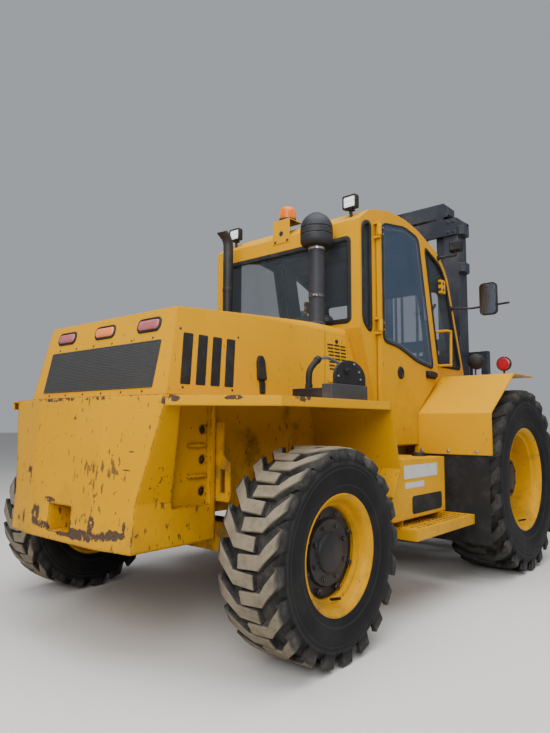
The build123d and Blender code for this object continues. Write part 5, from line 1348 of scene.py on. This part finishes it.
steering = {"head": (frontX - 0.330, 0, 1.440), "foot": (frontX - 0.200, 0, 0.972), "radius": 0.186, "grip": 0.0115}
head, foot = Vector(steering["head"]), Vector(steering["foot"])
axis = (head - foot).normalized()
bm = bmesh.new()
turned(bm, [(steering["grip"] * math.sin(math.tau * k / 12), steering["radius"] + steering["grip"] * math.cos(math.tau * k / 12))
            for k in range(12)], head, axis, 56)
wheelBoard = Board(head, (0, 1, 0), (axis.z, 0, -axis.x))
for k in range(3):
    way = around(wheelBoard.right, wheelBoard.up, 0.25 + k / 3)
    rod(bm, head - axis * 0.004 + way * 0.020, head + way * 0.184, 0.010, 12)
turned(bm, [(-0.020, 0.0), (-0.020, 0.030), (0.006, 0.036), (0.0115, 0.030), (0.0115, 0.0)], head, axis, 28)
rod(bm, foot, head - axis * 0.012, 0.024, 20)
turned(bm, [(0.0, 0.0), (0.0, 0.039), (0.300, 0.039), (0.320, 0.030), (0.320, 0.0)], foot, axis, 24)
block(bm, (frontX - 0.248, -0.118, 0.9475), (frontX - 0.132, 0.118, 0.962))
for side in (-1, 1):
    block(bm, (frontX - 0.2, side * 0.060 - 0.035, 0.962), (frontX - 0.14, side * 0.060 + 0.035, 0.985))
settle("steering-wheel", bm, "plastic", smooth=40, replaced=("steering_column",))

levers = {"count": 3, "x": frontX - 0.640, "y": -0.350, "pitch": 0.040, "floor": 0.9475}
bm = bmesh.new()
board = Board((frontX - 0.580, levers["y"], levers["floor"]), (1, 0, 0), (0, 1, 0))
console = rounded(0.079, 0.049, 0.010, 3)
stack(bm, board.rings(console, ((0.0, 0), (0.372, 0))) + board.rings(rounded(0.075, 0.045, 0.010, 3), ((0.382, 0),)))
for k in range(levers["count"]):
    x, y = levers["x"] + levers["pitch"] * k, levers["y"]
    tube(bm, [(x, y, 1.328), (x, y, 1.395), (x + 0.004, y, 1.470)], 0.0060, 10, 0.02)
    turned(bm, [(0.0, 0.0), (0.0, 0.010), (0.010, 0.0155), (0.022, 0.0170), (0.031, 0.0130), (0.035, 0.0)],
           (x, y, 1.465), (0, 0, 1), 20)
    turned(bm, [(0.0, 0.0), (0.0, 0.018), (0.010, 0.014), (0.018, 0.007), (0.018, 0.0)], (x, y, 1.3295), (0, 0, 1), 16)
settle("control-levers", bm, "plastic", smooth=40, replaced=("control_levers",))
print("driver's place made")

# Mast: smooth cylinders and rods, chains of links, bolts

lift = {"x": frontX + 0.450, "y": 0.200, "foot": 0.1305}
barrels, rods = bmesh.new(), bmesh.new()
for side in (-1, 1):
    foot = (lift["x"], side * lift["y"], lift["foot"])
    turned(barrels, [(0.0, 0.0), (0.0, 0.0375), (2.420, 0.0375), (2.422, 0.0375), (2.459, 0.0375), (2.459, 0.0262),
                     (0.0402, 0.0262), (0.040, 0.0)], foot, (0, 0, 1), 36)
    disc(rods, foot, (0, 0, 1), 0.780, 2.779, 0.0245, 32)
settle("lift-cylinders", barrels, "mast", "mast", 36, ("lift_barrels",))
settle("lift-cylinder-rods", rods, "chrome", "inner_mast", 36, ("lift_rods",))

tiltCylinder = {"x": frontX - 0.760, "y": 0.330, "z": 0.835, "eye": frontX + 0.280}
barrels, rods = bmesh.new(), bmesh.new()
for side in (-1, 1):
    y, z = side * tiltCylinder["y"], tiltCylinder["z"]
    foot = (tiltCylinder["x"], y, z)
    collar(barrels, foot, (0, 1, 0), 0.0245, 0.0183, 0.037, 32)
    turned(barrels, [(0.034, 0.0), (0.034, 0.036), (0.040, 0.043), (0.600, 0.043), (0.602, 0.0438), (0.6395, 0.0438),
                     (0.6395, 0.0262), (0.121, 0.0262), (0.120, 0.0)], foot, (1, 0, 0), 32)
    disc(rods, foot, (1, 0, 0), 0.300, 1.0095, 0.0235, 28)
    collar(rods, (tiltCylinder["eye"], y, z), (0, 1, 0), 0.0235, 0.0245, 0.0355, 32)
settle("tilt-cylinders", barrels, "under", "tilt_barrels", 36, ("tilt_barrels",))
settle("tilt-cylinder-rods", rods, "chrome", "tilt_rods", 36, ("tilt_rods",))

# leaf chains: pairs of link plates along each run and round the pulley
chain = {"y": 0.110, "pulley": Vector((frontX + 0.480, 0, 2.935)), "radius": 0.061, "pitch": 0.0255, "bend": 9,
         "front": 0.735, "rear": 0.435}
bm = bmesh.new()
for dy in (-0.0115, -0.0055, 0.0005, 0.0065):
    block(bm, (-0.0060, dy, -0.0142), (0.0060, dy + 0.0042, 0.0142))
rod(bm, (0, -0.0135, 0.0115), (0, 0.0135, 0.0115), 0.0035, 8)
link = pattern(bm)
chainMeshes = []
pulley = chain["pulley"]
for side in (-1, 1):
    y = side * chain["y"]
    for x, low in ((pulley.x + chain["radius"], chain["front"]), (pulley.x - chain["radius"], chain["rear"])):
        count = int((pulley.z - low) / chain["pitch"]) + 1
        chainMeshes.append(pathTree.grow("links", {
            "Part": link, "Count": count, "Start": (x, y, low), "End": (x, y, low + chain["pitch"] * (count - 1)),
            "Turn": (0.0, 0.0, 0.0), "Finish": finishes["chain"]}))
    arc = bmesh.new()
    for k in range(chain["bend"]):
        angle = math.pi * (k + 0.5) / chain["bend"]
        spot = pulley + Vector((chain["radius"] * math.cos(angle), y, chain["radius"] * math.sin(angle)))
        bent = link.data.copy()
        bent.transform(Matrix.Translation(spot) @ Matrix.Rotation(-angle, 4, "Y"))
        arc.from_mesh(bent)
        bpy.data.meshes.remove(bent)
    chainMeshes.append(tightened(arc, "arc"))
bpy.data.objects.remove(link)
merged("leaf-chains", chainMeshes, "chain", "inner_mast", 40, ("lift_chains",))

bm = bmesh.new()
for side in (-1, 1):
    for z in (0.79, 0.89, 1.73, 1.77, 2.75, 2.84):
        for y in (0.47, 0.52):
            bolt(bm, (frontX + 0.3297, side * y, z), (-1, 0, 0), 0.011, 0.009, 0.016)
settle("mast-bolts", bm, "mast", "mast", 30)
bm = bmesh.new()
for side in (-1, 1):
    for y in (0.455, 0.477):
        tube(bm, [(frontX + 0.560, side * y, 2.770), (frontX + 0.560, side * y, 2.850)], 0.008, 12)
settle("hose-guides", bm, "rubber", "mast", 40)
print("mast fitted")

# Yellow bracket with two holes on each front pillar, roof bars, dash and grab handles

bm, holes = bmesh.new(), bmesh.new()
for side in (-1, 1):
    block(bm, (frontX - 0.275, side * 0.6505, 2.070), (frontX - 0.205, side * 0.676, 2.175))
    # each hole is a thin near-black disc on the bracket's face: painted shade in place of the opening
    for z in (2.098, 2.147):
        disc(holes, (frontX - 0.240, side * 0.676, z), (0, side, 0), 0.0, 0.0008, 0.013, 20)
        disc(holes, (frontX - 0.275, side * 0.663, z), (-1, 0, 0), 0.0, 0.0008, 0.013, 12)
settle("pillar-brackets", bm, "cab", smooth=30)
settle("bracket-holes", holes, "rubber")

bm = bmesh.new()
for y in (-0.30, 0.30):
    block(bm, (frontX - 1.300, y - 0.020, 2.420), (frontX - 0.330, y + 0.020, 2.440))
for x in (-1.150, -0.820, -0.480):
    block(bm, (frontX + x - 0.022, -0.600, 2.405), (frontX + x + 0.022, 0.600, 2.423))
settle("roof-bars", bm, "plastic", smooth=30)
bm = bmesh.new()
grip = ((-0.330, 0.585, 1.60), (-0.300, 0.570, 1.66), (-0.230, 0.570, 1.95), (-0.200, 0.585, 2.00))
for side in (-1, 1):
    tube(bm, [(frontX + x, side * y, z) for x, y, z in grip], 0.011, 12, 0.04)
block(bm, (frontX - 0.150, -0.560, 1.300), (frontX + 0.050, 0.560, 1.440))
settle("dash-and-grips", bm, "plastic", smooth=36)
print("trim made")

# Floor, light and camera

bm = bmesh.new()
bmesh.ops.create_grid(bm, x_segments=1, y_segments=1, size=60)
floorShape = bpy.data.meshes.new("floor")
bm.to_mesh(floorShape)
bm.free()
floor = bpy.data.objects.new("floor", floorShape)
bpy.context.scene.collection.objects.link(floor)
floorLook = Finish("paleFloor")
floorLook.set(Base_Color=floorLook.mix(floorLook.noise(0.6, 4), (0.50, 0.49, 0.47), (0.56, 0.55, 0.53)),
              Roughness=floorLook.noise(3) * 0.1 + 0.8)
floorShape.materials.append(floorLook.material)

studio = {
    "sky": (0.86, 0.90, 0.96), "strength": 0.44,
    # place, aim, size, power
    "overhead": ((-2.0, -1.5, 8.0), (-0.5, 0, 1), (9, 7), 1150),
    "rearSky": ((-8.0, -4.0, 5.0), (-1, 0, 1.2), (6, 5), 800),
    "sideSky": ((1.5, -8.0, 5.0), (0, 0, 1.2), (7, 4), 60),
}
sky = bpy.data.worlds.new("studio")
bpy.context.scene.world = sky
sky.use_nodes = True
backdrop = sky.node_tree.nodes["Background"].inputs
backdrop["Color"].default_value = (*studio["sky"], 1)
backdrop["Strength"].default_value = studio["strength"]
for lampName in ("overhead", "rearSky", "sideSky"):
    where, towards, size, power = studio[lampName]
    lamp = bpy.data.lights.new(lampName, "AREA")
    lamp.shape = "RECTANGLE"
    lamp.size, lamp.size_y = size
    lamp.energy = power
    holder = bpy.data.objects.new(lampName, lamp)
    bpy.context.scene.collection.objects.link(holder)
    holder.location = where
    holder.rotation_euler = (Vector(towards) - Vector(where)).to_track_quat("-Z", "Y").to_euler()

photoView = {"place": (-3.9865, -2.645, 1.0545), "yaw": 40.69, "pitch": 5.495, "roll": -0.16, "lens": 29.06}
view = bpy.data.cameras.new("photoView")
view.lens = photoView["lens"]
view.sensor_width = 36
view.sensor_fit = "AUTO"
view.clip_end = 200
camera = bpy.data.objects.new("photoView", view)
bpy.context.scene.collection.objects.link(camera)
yaw, pitch, roll = (math.radians(photoView[turn]) for turn in ("yaw", "pitch", "roll"))
heading = Vector((math.cos(pitch) * math.cos(yaw), math.cos(pitch) * math.sin(yaw), math.sin(pitch)))
camera.location = photoView["place"]
stance = Matrix.Rotation(roll, 3, heading) @ heading.to_track_quat("-Z", "Y").to_matrix()
camera.rotation_euler = stance.to_euler()
bpy.context.scene.camera = camera
print("light and camera ready")
